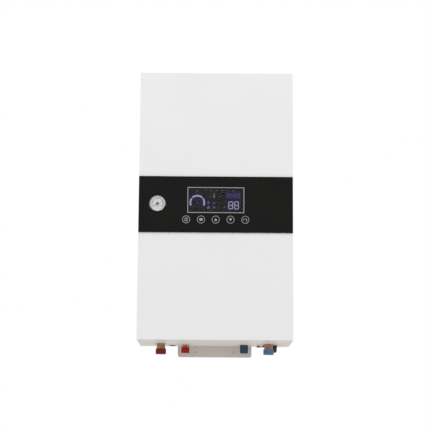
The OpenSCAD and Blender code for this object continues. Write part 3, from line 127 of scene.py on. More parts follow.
def light_world():
    """White for the camera, mirrors and panes, and a weaker cool fill for all else."""
    world = bpy.data.worlds.new("studio")
    bpy.context.scene.world = world
    world.use_nodes = True
    tree = world.node_tree
    tree.nodes.clear()
    path = add_node(tree, "LightPath")
    seen = path.outputs["Is Camera Ray"]
    for kind in ("Is Glossy Ray", "Is Transmission Ray"):
        either = add_node(tree, "Math", operation="MAXIMUM")
        tree.links.new(seen, either.inputs[0])
        tree.links.new(path.outputs[kind], either.inputs[1])
        seen = either.outputs[0]
    mix = add_node(tree, "MixShader", Fac=seen)
    for socket, colour, strength in ((1, (0.985, 0.99, 1, 1), WORLD_FILL), (2, (1, 1, 1, 1), 1)):
        light = add_node(tree, "Background", Color=colour, Strength=strength)
        tree.links.new(light.outputs[0], mix.inputs[socket])
    add_node(tree, "OutputWorld", Surface=mix.outputs[0])


def light_scene():
    light_world()
    for name, at, size, power in LAMPS:
        data = bpy.data.lights.new(name, "AREA")
        data.shape = "DISK"
        data.size = size
        data.energy = power
        lamp = bpy.data.objects.new(name, data)
        lamp.location = at
        lamp.rotation_euler = (LAMPS_AIM - Vector(at)).to_track_quat("-Z", "Y").to_euler()
        lamp.visible_camera = False
        lamp.visible_glossy = False
        bpy.context.scene.collection.objects.link(lamp)
    bpy.context.scene.view_settings.view_transform = "Standard"


# Materials. Their scales and reliefs are in metres

M = {}


class Nodes:
    """A new material's node tree, with short calls for the nodes that the materials share."""

    def __init__(self, name, **values):
        M[name] = self.material = bpy.data.materials.new(name)
        self.material.use_nodes = True
        self.tree = self.material.node_tree
        self.shader = self.tree.nodes["Principled BSDF"]
        self.coords = add_node(self.tree, "TexCoord").outputs["Object"]
        for value_name, value in values.items():
            self.shader.inputs[value_name.replace("_", " ")].default_value = value

    def link(self, a, b):
        self.tree.links.new(a, b)

    def mapped(self, stretch):
        return add_node(self.tree, "Mapping", Scale=stretch, Vector=self.coords).outputs["Vector"]

    def noise(self, scale, detail=3, stretch=(1, 1, 1), distortion=0.0):
        return add_node(self.tree, "TexNoise", Scale=scale, Detail=detail, Distortion=distortion,
                        Vector=self.mapped(stretch)).outputs["Fac"]

    def cells(self, scale, output="Distance"):
        return add_node(self.tree, "TexVoronoi", Scale=scale, Vector=self.mapped((1, 1, 1))).outputs[output]

    def ranged(self, value, low, high, from_low=0.3, from_high=0.7):
        return add_node(self.tree, "MapRange", From_Min=from_low, From_Max=from_high, To_Min=low,
                        To_Max=high, Value=value).outputs["Result"]

    def ramp(self, value, low, high, from_low=0.3, from_high=0.7):
        node = add_node(self.tree, "ValToRGB", Fac=value)
        for element, place, colour in zip(node.color_ramp.elements, (from_low, from_high), (low, high)):
            element.position = place
            element.color = (*colour, 1)
        return node.outputs["Color"]

    def blend(self, factor, a, b):
        node = add_node(self.tree, "Mix", data_type="RGBA", Factor=factor)
        for socket, value in zip([i for i in node.inputs if i.type == "RGBA"], (a, b)):
            if isinstance(value, bpy.types.NodeSocket):
                self.link(value, socket)
            else:
                socket.default_value = (*value, 1)
        return [o for o in node.outputs if o.type == "RGBA"][0]

    def bump(self, height, distance, strength=1.0):
        normal = self.shader.inputs["Normal"]
        node = add_node(self.tree, "Bump", Strength=strength, Distance=distance, Height=height)
        if normal.is_linked:
            self.link(normal.links[0].from_socket, node.inputs["Normal"])
        self.link(node.outputs["Normal"], normal)

    def colour(self, socket):
        self.link(socket, self.shader.inputs["Base Color"])

    def rough(self, socket):
        self.link(socket, self.shader.inputs["Roughness"])


def shade(colour, share):
    return tuple(min(1.0, c * share) for c in colour)


def finish(name, colour, rough, metallic=0.0, specular=0.5, tint=0.05, tint_scale=40, stretch=(1, 1, 1),
           grain=900, grain_depth=0.00003, second=None, **coat):
    """A finish with uneven colour, uneven gloss and a fine relief."""
    n = Nodes(name, Metallic=metallic, Specular_IOR_Level=specular, **coat)
    uneven = n.noise(tint_scale, 4, stretch)
    n.colour(n.ramp(uneven, shade(colour, 1 - tint), second or shade(colour, 1 + tint)))
    n.rough(n.ranged(n.noise(tint_scale * 2.3, 3, stretch), rough - 0.06, rough + 0.06))
    n.bump(n.noise(grain, 3, stretch), grain_depth)


def brushed(name, colour, rough, along):
    """Drawn or brushed metal whose fine lines run along one axis."""
    stretch = [1.0, 1.0, 1.0]
    stretch["XYZ".index(along)] = 0.03
    n = Nodes(name, Metallic=1.0)
    lines = n.noise(700, 4, stretch)
    base = n.ramp(lines, shade(colour, 0.88), shade(colour, 1.08))
    n.colour(n.blend(n.ranged(n.noise(18, 3), 0, 0.35), base, shade(colour, 0.8)))
    n.rough(n.ranged(lines, rough - 0.07, rough + 0.1))
    n.bump(lines, 0.00002)


def cast_metal(name, colour, rough, metallic):
    n = Nodes(name, Metallic=metallic)
    pits = n.noise(420, 5)
    n.colour(n.ramp(n.noise(60, 5), shade(colour, 0.78), shade(colour, 1.15), 0.3, 0.72))
    n.rough(n.ranged(pits, rough - 0.1, rough + 0.12))
    n.bump(pits, 0.00025)


def powder_coat(name, colour, rough=0.42):
    """Even paint baked on sheet steel, with a fine orange-peel relief and faint handling marks."""
    n = Nodes(name, Specular_IOR_Level=0.4)
    n.colour(n.ramp(n.noise(7, 3), shade(colour, 0.99), shade(colour, 1.008)))
    n.rough(n.ranged(n.noise(30, 4), rough - 0.05, rough + 0.06))
    n.bump(n.noise(850, 2), 0.00003, 0.8)
    n.bump(n.noise(160, 2), 0.00004, 0.4)


def soldered_copper(name):
    n = Nodes(name, Metallic=1.0)
    cloud = n.noise(55, 5, distortion=0.6)
    clean = n.ramp(n.noise(500, 3, (1, 1, 0.1)), (0.66, 0.31, 0.19), (0.8, 0.42, 0.28))
    n.colour(n.blend(n.ranged(cloud, 0, 0.75, 0.5, 0.75), clean, (0.33, 0.14, 0.08)))
    n.rough(n.ranged(cloud, 0.22, 0.48))
    n.bump(n.noise(600, 3), 0.00002)


def zinc_plate(name, colour):
    """Zinc-plated sheet with the large faint crystals of a dipped coat."""
    n = Nodes(name, Metallic=0.95)
    crystal = add_node(n.tree, "SeparateColor", Color=n.cells(90, "Color"))
    n.colour(n.ramp(crystal.outputs["Red"], shade(colour, 0.9), shade(colour, 1.12), 0, 1))
    n.rough(n.ranged(crystal.outputs["Green"], 0.3, 0.44, 0, 1))
    n.bump(n.noise(500, 3), 0.00002)


def foam(name, colour):
    n = Nodes(name, Specular_IOR_Level=0.25)
    cells = n.cells(900)
    n.colour(n.ramp(cells, shade(colour, 0.6), shade(colour, 1.25), 0.1, 0.5))
    n.rough(n.ranged(n.noise(80, 3), 0.82, 0.95))
    n.bump(cells, 0.0003)
    n.bump(n.noise(40, 3), 0.0006, 0.5)


def circuit(name, colour):
    """Solder mask with copper tracks under it and small tinned dots."""
    n = Nodes(name, Coat_Weight=0.3, Coat_Roughness=0.2)
    flat = add_node(n.tree, "Mapping", Rotation=(math.radians(90), 0, 0), Vector=n.coords)
    brick = add_node(n.tree, "TexBrick", offset=0.37, squash=0.6, Color1=(*colour, 1),
                     Color2=(*shade(colour, 0.82), 1), Mortar=(*shade(colour, 1.9), 1), Scale=90,
                     Mortar_Size=0.035, Vector=flat.outputs["Vector"])
    dots = n.ranged(n.cells(260), 1, 0, 0.1, 0.16)
    n.colour(n.blend(dots, brick.outputs["Color"], (0.55, 0.55, 0.5)))
    n.rough(n.ranged(n.noise(60, 2), 0.3, 0.42))
    n.bump(brick.outputs["Fac"], 0.00003, 0.6)


def clear_plastic(name, colour, alpha, rough=0.04):
    """A clear pane: node-driven gloss on a see-through shader."""
    n = Nodes(name, Alpha=alpha)
    n.material.surface_render_method = "BLENDED"
    n.colour(n.ramp(n.noise(25, 2), shade(colour, 0.96), colour))
    n.rough(n.ranged(n.noise(60, 3), rough, rough + 0.03))


def glowing(name, colour, strength, base=(0.02, 0.02, 0.04)):
    """A lit segment of the display."""
    n = Nodes(name, Emission_Color=(*colour, 1), Emission_Strength=strength, Specular_IOR_Level=0.1)
    n.colour(n.ramp(n.noise(300, 2), shade(base, 0.8), shade(base, 1.2)))
    n.rough(n.ranged(n.noise(200, 2), 0.4, 0.55))


def black_glass(name):
    """Toughened glass printed black on its back: deep, with a soft faint reflection."""
    n = Nodes(name, Specular_IOR_Level=0.13)
    n.colour(n.ramp(n.noise(12, 3), (0.0031, 0.0028, 0.0024), (0.0048, 0.0043, 0.0036)))
    n.rough(n.ranged(n.noise(9, 4), 0.03, 0.09))
    n.bump(n.noise(6, 2), 0.00012, 0.25)


# Places of painted glow on the display's dark face, standing in for the backlight's spill round its lit
# parts: their x and z in the casing's frame, their reach in metres and their colour
GLOWS = (
    (-54, 408, 0.028, (0.011, 0.009, 0.05)),
    (60, 421, 0.030, (0.012, 0.010, 0.05)),
    (50, 392, 0.034, (0.011, 0.009, 0.035)),
    (-20, 393, 0.02, (0.009, 0.008, 0.03)),
)


def display_glow(name):
    """The display's dark face, with painted glow: its colour a little lighter and bluer round its lit parts,
    standing in for the backlight's spill.
    """
    n = Nodes(name, Specular_IOR_Level=0.15)
    colour = n.ramp(n.noise(90, 3), (0.006, 0.006, 0.006), (0.009, 0.009, 0.009))
    for x, z, reach, tone in GLOWS:
        node = add_node(n.tree, "VectorMath", operation="DISTANCE")
        node.inputs[1].default_value = row((x, box_of("lcd_module")[0].y, z))
        n.link(n.coords, node.inputs[0])
        # painted glow: the colour is blended towards each place's tone near it
        colour = n.blend(n.ranged(node.outputs["Value"], 0.9, 0, reach * 0.1, reach), colour, tone)
    n.colour(colour)
    n.rough(n.ranged(n.noise(120, 3), 0.3, 0.42))


# Finishes by kind: name, colour, roughness and what else the kind takes
PAINTS = (
    ("case_white", (0.815, 0.82, 0.83)),
    # base_white is the casing's white made darker and warmer: painted shade for the underside, which faces
    # down away from the lamps
    ("base_white", (0.77, 0.75, 0.73)),
    ("plate_white", (0.665, 0.63, 0.575)),
    # plate_shade is plate_white darkened: painted shade for the knock-out discs in their recess
    ("plate_shade", (0.5, 0.465, 0.42), 0.5),
    ("vessel_red", (0.42, 0.018, 0.012), 0.35),
)
BRUSHED = (
    ("screw_zinc", (0.62, 0.63, 0.64), 0.3, "Z"),
    ("gauge_silver", (0.59, 0.60, 0.61), 0.18, "Y"),
    ("tank_steel", (0.6, 0.6, 0.6), 0.28, "X"),
    ("rotor_steel", (0.52, 0.53, 0.54), 0.25, "Y"),
    ("laminations", (0.3, 0.3, 0.31), 0.4, "X"),
    ("aluminium", (0.7, 0.71, 0.72), 0.33, "Z"),
)
# Tint and its scale follow
INKS = (
    ("marking_grey", (0.36, 0.36, 0.38), 0.5, 0.06, 120),
    ("ring_grey", (0.33, 0.33, 0.37), 0.5, 0.06, 120),
    ("frame_grey", (0.34, 0.34, 0.345), 0.5, 0.06, 120),
    ("dial_white", (0.70, 0.71, 0.70), 0.6, 0.02, 60),
    ("dial_ink", (0.1, 0.1, 0.11), 0.6, 0.1, 400),
    ("dial_red", (0.5, 0.03, 0.02), 0.6, 0.1, 400),
    ("needle_grey", (0.06, 0.06, 0.065), 0.45, 0.08, 300),
    ("needle_black", (0.015, 0.015, 0.015), 0.4, 0.1, 300),
    ("ceramic", (0.72, 0.7, 0.64), 0.5, 0.05, 200),
    ("cable_brown", (0.13, 0.05, 0.02), 0.5, 0.1, 200),
    ("cable_blue", (0.02, 0.08, 0.32), 0.5, 0.1, 200),
    ("cable_green", (0.06, 0.24, 0.05), 0.5, 0.1, 200),
    ("cable_yellow", (0.6, 0.42, 0.03), 0.5, 0.1, 200),
    ("cable_red", (0.4, 0.02, 0.02), 0.5, 0.1, 200),
    ("cable_white", (0.7, 0.7, 0.68), 0.5, 0.05, 200),
)
# Tint follows
PLASTICS = (
    ("housing_black", (0.035, 0.035, 0.038), 0.5, 0.05),
    ("lcd_body", (0.03, 0.03, 0.035), 0.45, 0.05),
    ("gland_black", (0.004, 0.004, 0.004), 0.5, 0.1),
    ("module_grey", (0.42, 0.43, 0.44), 0.5, 0.04),
    ("module_dark", (0.04, 0.04, 0.045), 0.5, 0.1),
    ("module_green", (0.03, 0.2, 0.09), 0.45, 0.06),
    ("plastic_white", (0.76, 0.76, 0.74), 0.45, 0.02),
    ("plastic_blue", (0.02, 0.09, 0.32), 0.45, 0.06),
    ("relay_blue", (0.02, 0.07, 0.24), 0.4, 0.06),
    ("chip_black", (0.018, 0.018, 0.02), 0.55, 0.1),
)
CAPS = (
    ("cap_dark_red", (0.21, 0.011, 0.006)),
    ("cap_red", (0.335, 0.01, 0.008)),
    ("cap_navy", (0.031, 0.066, 0.124)),
    ("cap_blue", (0.086, 0.185, 0.345)),
)
# Metallic share, tint and its scale follow
METALS = (
    ("tap_bronze", (0.16, 0.085, 0.035), 0.42, 0.6, 0.2, 150),
    ("solder", (0.66, 0.66, 0.67), 0.32, 1.0, 0.1, 300, dict(grain=500, grain_depth=0.0001)),
    ("weld", (0.42, 0.39, 0.36), 0.38, 1.0, 0.2, 250, dict(grain=300, grain_depth=0.0002)),
    ("brass", (0.70, 0.46, 0.16), 0.27, 1.0, 0.12, 70, dict(second=(0.78, 0.56, 0.25))),
    ("thread_brass", (0.60, 0.42, 0.31), 0.36, 0.9, 0.2, 150, dict(grain_depth=0.00004)),
    ("rod_sheath", (0.42, 0.4, 0.38), 0.36, 1.0, 0.15, 60),
    ("contact_tin", (0.62, 0.62, 0.6), 0.3, 1.0, 0.08, 300),
)
# Strength of the light follows
LIT = (
    ("lit_lavender", (0.50, 0.47, 0.76), 0.74),
    ("lit_violet", (0.15, 0.13, 0.46), 0.6),
    ("dim_grey", (0.12, 0.12, 0.13), 0.8),
    ("dim_bright", (0.16, 0.16, 0.165), 0.9),
    ("dim_blue", (0.13, 0.12, 0.30), 0.9),
    ("dim_faint", (0.075, 0.075, 0.078), 0.8),
)


def make_materials():
    for values in PAINTS:
        powder_coat(*values)
    for values in BRUSHED:
        brushed(*values)
    for name, colour, rough, tint, scale in INKS:
        finish(name, colour, rough, tint=tint, tint_scale=scale)
    smooth = dict(grain=1200, grain_depth=0.00002)
    for name, colour, rough, tint in PLASTICS:
        finish(name, colour, rough, tint=tint, **smooth)
    finish("button_red", (0.5, 0.02, 0.015), 0.35, Coat_Weight=0.3, Coat_Roughness=0.12, **smooth)
    for name, colour in CAPS:
        finish(name, colour, 0.42, specular=0.2, tint=0.12, tint_scale=120, **smooth)
    for name, colour, rough, metallic, tint, scale, *more in METALS:
        finish(name, colour, rough, metallic, tint=tint, tint_scale=scale, **(more[0] if more else {}))
    for values in LIT:
        glowing(*values)
    finish("strap_grey", (0.3, 0.3, 0.31), 0.6, stretch=(1, 1, 0.2), grain_depth=0.0001)
    finish("grommet_black", (0.06, 0.06, 0.06), 0.75, tint=0.15, grain=600, grain_depth=0.00006)
    finish("cable_black", (0.02, 0.02, 0.021), 0.55, tint=0.1, tint_scale=200, grain=700,
           grain_depth=0.00005)
    finish("floor_pale", (0.78, 0.745, 0.71), 0.7, tint=0.01, tint_scale=3)
    foam("tape_black", (0.03, 0.03, 0.03))
    foam("jacket_foam", (0.05, 0.05, 0.055))
    cast_metal("pump_iron", (0.09, 0.095, 0.1), 0.6, 0.6)
    cast_metal("motor_black", (0.025, 0.025, 0.028), 0.5, 0.2)
    clear_plastic("window_clear", (0.02, 0.02, 0.025), 0.12)
    clear_plastic("clear_lens", (0.9, 0.93, 0.95), 0.08)
    circuit("board_green", (0.012, 0.09, 0.035))
    zinc_plate("zinc_steel", (0.6, 0.61, 0.62))
    soldered_copper("copper")
    black_glass("black_glass")
    display_glow("lcd")


# Shapes

def spoke(side, other, angle):
    return math.cos(angle) * side + math.sin(angle) * other


def circle(at, side, other, radius, sides):
    return [at + radius * spoke(side, other, 2 * math.pi * i / sides) for i in range(sides)]


def turned(way, angle):
    return Matrix.Rotation(math.radians(angle), 4, way)


def rounded_path(points, radius, steps=8):
    """A path whose corners are turned in arcs."""
    points = [Vector(p) for p in points]
    path = [points[0]]
    for before, corner, after in zip(points, points[1:], points[2:]):
        a, b = before - corner, after - corner
        reach = min(radius, 0.45 * a.length, 0.45 * b.length)
        start, end = corner + a.normalized() * reach, corner + b.normalized() * reach
        for k in range(steps + 1):
            t = k / steps
            path.append((1 - t) ** 2 * start + 2 * t * (1 - t) * corner + t * t * end)
    return path + [points[-1]]


def frames_along(points):
    """Each point of a path, with two directions square to it that turn as little as can be."""
    way = (points[1] - points[0]).normalized()
    side = way.orthogonal().normalized()
    frames = []
    for i, point in enumerate(points):
        ahead = (points[min(i + 1, len(points) - 1)] - points[max(i - 1, 0)]).normalized()
        side = (way.rotation_difference(ahead) @ side).normalized()
        way = ahead
        frames.append((point, side, way.cross(side)))
    return frames


def disc(x, z, radius, sides=20, tall=None):
    """Flat points round a place, as x and z. Another height makes an oval of them."""
    turns = [2 * math.pi * i / sides for i in range(sides)]
    return [(x + radius * math.cos(a), z + (tall or radius) * math.sin(a)) for a in turns]


def strip(x, z, end_x, end_z):
    return [(x, z), (end_x, z), (end_x, end_z), (x, end_z)]


def rotated(points, x, z, degrees):
    """Flat points turned about their origin, which comes to x and z."""
    c, s = math.cos(math.radians(degrees)), math.sin(math.radians(degrees))
    return [(x + a * c - b * s, z + a * s + b * c) for a, b in points]


class Shape:
    """Faces of one piece, gathered part by part, each with its material. Plates lie between two depths."""

    def __init__(self, *depths):
        self.bm = bmesh.new()
        self.materials = []
        self.depths = depths

    def take(self, faces, material):
        if material not in self.materials:
            self.materials.append(material)
        for face in faces:
            face.material_index = self.materials.index(material)

    def skin(self, rings, material, caps=True, close=False):
        """Faces from ring to ring. A ring of one point is a tip."""
        rings = [[self.bm.verts.new(row(p)) for p in ring] for ring in rings]
        pairs = list(zip(rings, rings[1:])) + [(rings[-1], rings[0])] * close
        faces = []
        for a, b in pairs:
            count = max(len(a), len(b))
            for i in range(count):
                j = (i + 1) % count
                corners = list(dict.fromkeys((a[i % len(a)], a[j % len(a)], b[j % len(b)], b[i % len(b)])))
                if len(corners) > 2:
                    faces.append(self.bm.faces.new(corners))
        if caps:
            faces += [self.bm.faces.new(list(reversed(rings[0]))), self.bm.faces.new(rings[-1])]
        self.take(faces, material)

    def block(self, centre, half, material, bevel=0.0, turn=None, segments=2):
        """A box given by its middle and half its size, with rounded edges."""
        size = 2 * MM * Vector(half)
        matrix = Matrix.Translation(row(centre)) @ (turn or Matrix.Identity(4)) @ Matrix.Diagonal((*size, 1))
        made = bmesh.ops.create_cube(self.bm, size=1, matrix=matrix)["verts"]
        faces = {f for v in made for f in v.link_faces}
        if bevel:
            edges = {e for v in made for e in v.link_edges}
            made = bmesh.ops.bevel(self.bm, geom=list(edges), offset=min(bevel * MM, 0.45 * min(size)),
                                   segments=segments, profile=0.5, affect="EDGES",
                                   clamp_overlap=True)["faces"]
            faces = {f for new_face in made for v in new_face.verts for f in v.link_faces}
        self.take(faces, material)

    def box(self, low, high, material, bevel=0.0, segments=2):
        low, high = Vector(low), Vector(high)
        self.block((low + high) / 2, (high - low) / 2, material, bevel, segments=segments)

    def bars(self, low, high, wall, start, material, bevel, segments=2):
        """Four bars round an opening. The upright ones start some way from the ends."""
        self.box(low, (high.x, high.y, low.z + wall), material, bevel, segments)
        self.box((low.x, low.y, high.z - wall), high, material, bevel, segments)
        for x in (low.x, high.x - wall):
            self.box((x, low.y, low.z + start), (x + wall, high.y, high.z - start), material, bevel,
                     segments)

    def moulded(self, low, high, corner, material, axis="Y", chamfer=0.4, steps=4):
        """A block whose corners are round when seen along one axis, with chamfered faces."""
        low, high = Vector(low), Vector(high)
        k = "XYZ".index(axis)
        u, v = [i for i in range(3) if i != k]
        corner = min(corner, 0.48 * (high[u] - low[u]), 0.48 * (high[v] - low[v]))
        chamfer = min(chamfer, 0.45 * (high[k] - low[k]), 0.8 * corner)
        left, right, below, above = low[u] + corner, high[u] - corner, low[v] + corner, high[v] - corner
        rings = []
        for along, inset in ((low[k], chamfer), (low[k] + chamfer, 0), (high[k] - chamfer, 0),
                             (high[k], chamfer)):
            rings.append([])
            for quarter, centre in enumerate(((right, above), (left, above), (left, below), (right, below))):
                for step in range(steps + 1):
                    turn = math.radians(90 * (quarter + step / steps))
                    point = vec(along, along, along)
                    point[u] = centre[0] + (corner - inset) * math.cos(turn)
                    point[v] = centre[1] + (corner - inset) * math.sin(turn)
                    rings[-1].append(point)
        self.skin(rings, material)

    def lathe(self, at, way, profile, material, sides=48, close=False):
        """Turns pairs of distance along way and radius round the axis through at."""
        way = Vector(way).normalized()
        side = (way.orthogonal() if abs(way.z) >= 0.5 else way.cross(UP)).normalized()
        rings = [circle(Vector(at) + way * along, side, way.cross(side), radius, sides if radius else 1)
                 for along, radius in profile]
        self.skin(rings, material, False, close)

    def rod(self, start, end, radius, material, sides=24, chamfer=0.0):
        way = Vector(end) - Vector(start)
        length = way.length
        edge = min(chamfer, 0.45 * length, 0.45 * radius)
        profile = [(0, 0), (0, radius - edge), (edge, radius), (length - edge, radius),
                   (length, radius - edge), (length, 0)]
        if not edge:
            profile = [(0, 0), (0, radius), (length, radius), (length, 0)]
        self.lathe(start, way, profile, material, sides)

    def tube(self, start, end, radius, bore, material, sides=32, edge=0.4):
        """A short open pipe with chamfered ends."""
        way = Vector(end) - Vector(start)
        length = way.length
        edge = min(edge, 0.4 * (radius - bore), 0.3 * length)
        self.lathe(start, way, [
            (edge, bore), (0, bore + edge), (0, radius - edge), (edge, radius), (length - edge, radius),
            (length, radius - edge), (length, bore + edge), (length - edge, bore)], material, sides, True)

    def bead(self, at, way, radius, thick, material, sides=40):
        """A round bead of weld or solder laid round an axis."""
        turns = [math.radians(45 * i) for i in range(8)]
        profile = [(thick * math.cos(a), radius + thick * math.sin(a)) for a in turns]
        self.lathe(at, way, profile, material, sides, True)

    def hexagon(self, at, way, height, radius, material, bore=0.0):
        """A nut or screw head: six flats with turned corners."""
        edge = 0.1 * radius
        rise = 0.6 * edge
        self.lathe(at, way, [(0, bore), (0, radius - edge), (rise, radius), (height - rise, radius),
                             (height, radius - edge), (height, bore)], material, 6, bore > 0)

    def plate(self, outline, material):
        """A flat shape given by x and z points, between the shape's two depths."""
        self.skin([[(x, y, z) for x, z in outline] for y in self.depths], material)

    def arc(self, x, z, inner, outer, start, end, material, steps=24):
        """Part of a ring between two angles in degrees, seen from the front."""
        angles = [math.radians(start + (end - start) * i / steps) for i in range(steps + 1)]
        points = [(outer, a) for a in angles] + [(inner, a) for a in reversed(angles)]
        self.plate([(x + r * math.cos(a), z + r * math.sin(a)) for r, a in points], material)

    def sweep(self, points, radius, material, sides=12):
        """A round rod along a list of points."""
        self.skin([circle(p, u, v, radius, sides) for p, u, v in frames_along(points)], material)

    def thread(self, at, way, length, root, crest, pitch, material, sides=36, bore=0.0):
        """A screw thread round the axis through at, closed at both ends down to the bore."""
        way = Vector(way).normalized()
        side = way.orthogonal().normalized()
        other = way.cross(side)
        steps = max(8, int(length / pitch * 6))
        rings = []
        for k in range(steps + 1):
            along = length * k / steps
            lead = min(1, along / pitch, (length - along) / pitch)
            rings.append([])
            for i in range(sides):
                ridge = 1 - abs(2 * ((along / pitch + i / sides) % 1) - 1)
                radius = root + (crest - root) * min(1, 1.25 * ridge) * lead
                out = radius * spoke(side, other, 2 * math.pi * i / sides)
                rings[-1].append(Vector(at) + way * along + out)
        if bore:
            ends = [circle(Vector(at) + way * along, side, other, bore, sides) for along in (0, length)]
            rings = [ends[0], *rings, ends[1]]
        self.skin(rings, material, not bore, bool(bore))

    def screw_head(self, at, way, radius, height, cross=True):
        """A low round head. Its driving recess is not cut: thin black bars on top paint the recess's shade.
        """
        way = Vector(way).normalized()
        self.lathe(at, way, [(0, radius), (height * 0.35, radius), (height * 0.8, radius * 0.8),
                             (height, radius * 0.45), (height, 0)], "screw_zinc", 24)
        side = way.orthogonal().normalized()
        other = way.cross(side)
        for a, b in ((side, other), (other, side))[:2 if cross else 1]:
            self.block(Vector(at) + way * height, (radius * 0.55, radius * 0.11, height * 0.06),
                       "needle_black", turn=Matrix((a, b, way)).transposed().to_4x4())

    def mesh(self):
        bmesh.ops.remove_doubles(self.bm, verts=self.bm.verts, dist=1e-7)
        bmesh.ops.recalc_face_normals(self.bm, faces=self.bm.faces)
        mesh = bpy.data.meshes.new("part")
        self.bm.to_mesh(mesh)
        self.bm.free()
        return mesh

    def done(self, name, node=None, slot=None, body="chassis"):
        piece(name, self.mesh(), self.materials, node, slot, body)


def piece(name, mesh, materials, node=None, slot=None, body="chassis", angle=35):
    """An object of the mesh. It stands for the node, or else it rides a body; the slot it is given is not
    used.
    """
    numbers = [min(face.material_index, len(materials) - 1) for face in mesh.polygons]
    mesh.name = name
    mesh.materials.clear()
    for material in materials:
        mesh.materials.append(M[material])
    mesh.polygons.foreach_set("material_index", numbers)
    mesh.shade_smooth()
    mesh.set_sharp_from_angle(angle=math.radians(angle))
    made = bpy.data.objects.new(name, mesh)
    bpy.context.scene.collection.objects.link(made)
    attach(made, BODIES[node] if node else body)
    if node:
        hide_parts(node)
    SLOTS[node] if node else slot
    even = made.modifiers.new("even_normals", "WEIGHTED_NORMAL")
    even.keep_sharp = True


def carved(shape, *cutters):
    """The shape's mesh with other closed shapes taken out of it."""
    body, *tools = [bpy.data.objects.new("carving", part.mesh()) for part in (shape, *cutters)]
    for used in (body, *tools):
        bpy.context.scene.collection.objects.link(used)
    for tool in tools:
        modifier = body.modifiers.new("cut", "BOOLEAN")
        modifier.solver = "EXACT"
        modifier.use_self = True
        modifier.object = tool
    bpy.context.view_layer.update()
    result = bpy.data.meshes.new_from_object(body.evaluated_get(bpy.context.evaluated_depsgraph_get()))
    for used in (body, *tools):
        bpy.data.objects.remove(used)
    return result


def softened(name, node, width, material=None):
    """The node's own form again, with its sheet or moulded edges rounded by a width in millimetres."""
    mesh = frame["nodes"][node].data.copy()
    bm = bmesh.new()
    bm.from_mesh(mesh)
    bmesh.ops.remove_doubles(bm, verts=bm.verts, dist=1e-6)
    bmesh.ops.dissolve_limit(bm, angle_limit=math.radians(0.6), verts=bm.verts, edges=bm.edges)
    sharp = [e for e in bm.edges if len(e.link_faces) == 2 and e.calc_face_angle(0) > math.radians(30)]
    bmesh.ops.bevel(bm, geom=sharp, offset=width * MM, segments=2, profile=0.5, affect="EDGES",
                    clamp_overlap=True)
    bmesh.ops.triangulate(bm, faces=[f for f in bm.faces if len(f.verts) > 4])
    bm.to_mesh(mesh)
    bm.free()
    piece(name, mesh, [material or SLOTS[node]], node, angle=40)


def make_floor():
    shape = Shape()
    shape.block((0, 0, (FLOOR_Z - 0.01 - CASE_TO_ROW) / MM), (6 / MM, 6 / MM, 0.01 / MM), "floor_pale")
    mesh = bpy.data.meshes.new("floor")
    shape.bm.to_mesh(mesh)
    shape.bm.free()
    mesh.materials.append(M["floor_pale"])
    floor = bpy.data.objects.new("floor", mesh)
    bpy.context.scene.collection.objects.link(floor)


make_materials()
place_camera()
light_scene()
make_floor()
for node, slot in SLOTS.items():
    materials = frame["nodes"][node].data.materials
    materials.clear()
    materials.append(M[slot])


# Glass band, display and keys

MARK = 0.2


def make_glass():
    low, high = box_of("control_glass")
    lcd_low, lcd_high = box_of("lcd_module")
    bezel_low, bezel_high = box_of("gauge_case")
    gauge = middle("gauge_lens")
    hole_r = (bezel_high.x - bezel_low.x) / 2 + 0.8
    margin, through, inset = 3, vec(0, 10, 0), vec(0.03, 0, 0.03)
    window_low = vec(lcd_low.x + margin, low.y, lcd_low.z + margin)
    window_high = vec(lcd_high.x - margin, high.y, lcd_high.z - margin)
    band, hole, window, pane = Shape(), Shape(), Shape(), Shape()
    band.box(low, high, "black_glass", 0.8, 3)
    hole.rod((gauge.x, low.y - 10, gauge.z), (gauge.x, low.y + 20, gauge.z), hole_r, "black_glass", 72)
    window.box(window_low - through, window_high + through, "black_glass")
    piece("glass_band", carved(band, hole, window), ["black_glass"], "control_glass", angle=25)
    pane.box(window_low + inset, window_high - inset, "window_clear")
    pane.done("window_pane", slot="black_glass", body="front_cover")


def eight(shape, x, z, width, height, thick, material):
    """A seven-bar number with pointed bars, whose lower left corner is at x and z."""
    half, tall, gap = thick / 2, (height - thick) / 2, 0.12 * thick
    bars = [(width / 2, level * tall, width - thick, 0) for level in (0, 1, 2)]
    bars += [(side, (level + 0.5) * tall, tall, 90) for level in (0, 1) for side in (half, width - half)]
    for right, up, length, angle in bars:
        tip = (length - gap) / 2
        outline = [(-tip, 0), (half - tip, half), (tip - half, half), (tip, 0), (tip - half, -half),
                   (half - tip, -half)]
        shape.plate(rotated(outline, x + right, z + half + up, angle), material)


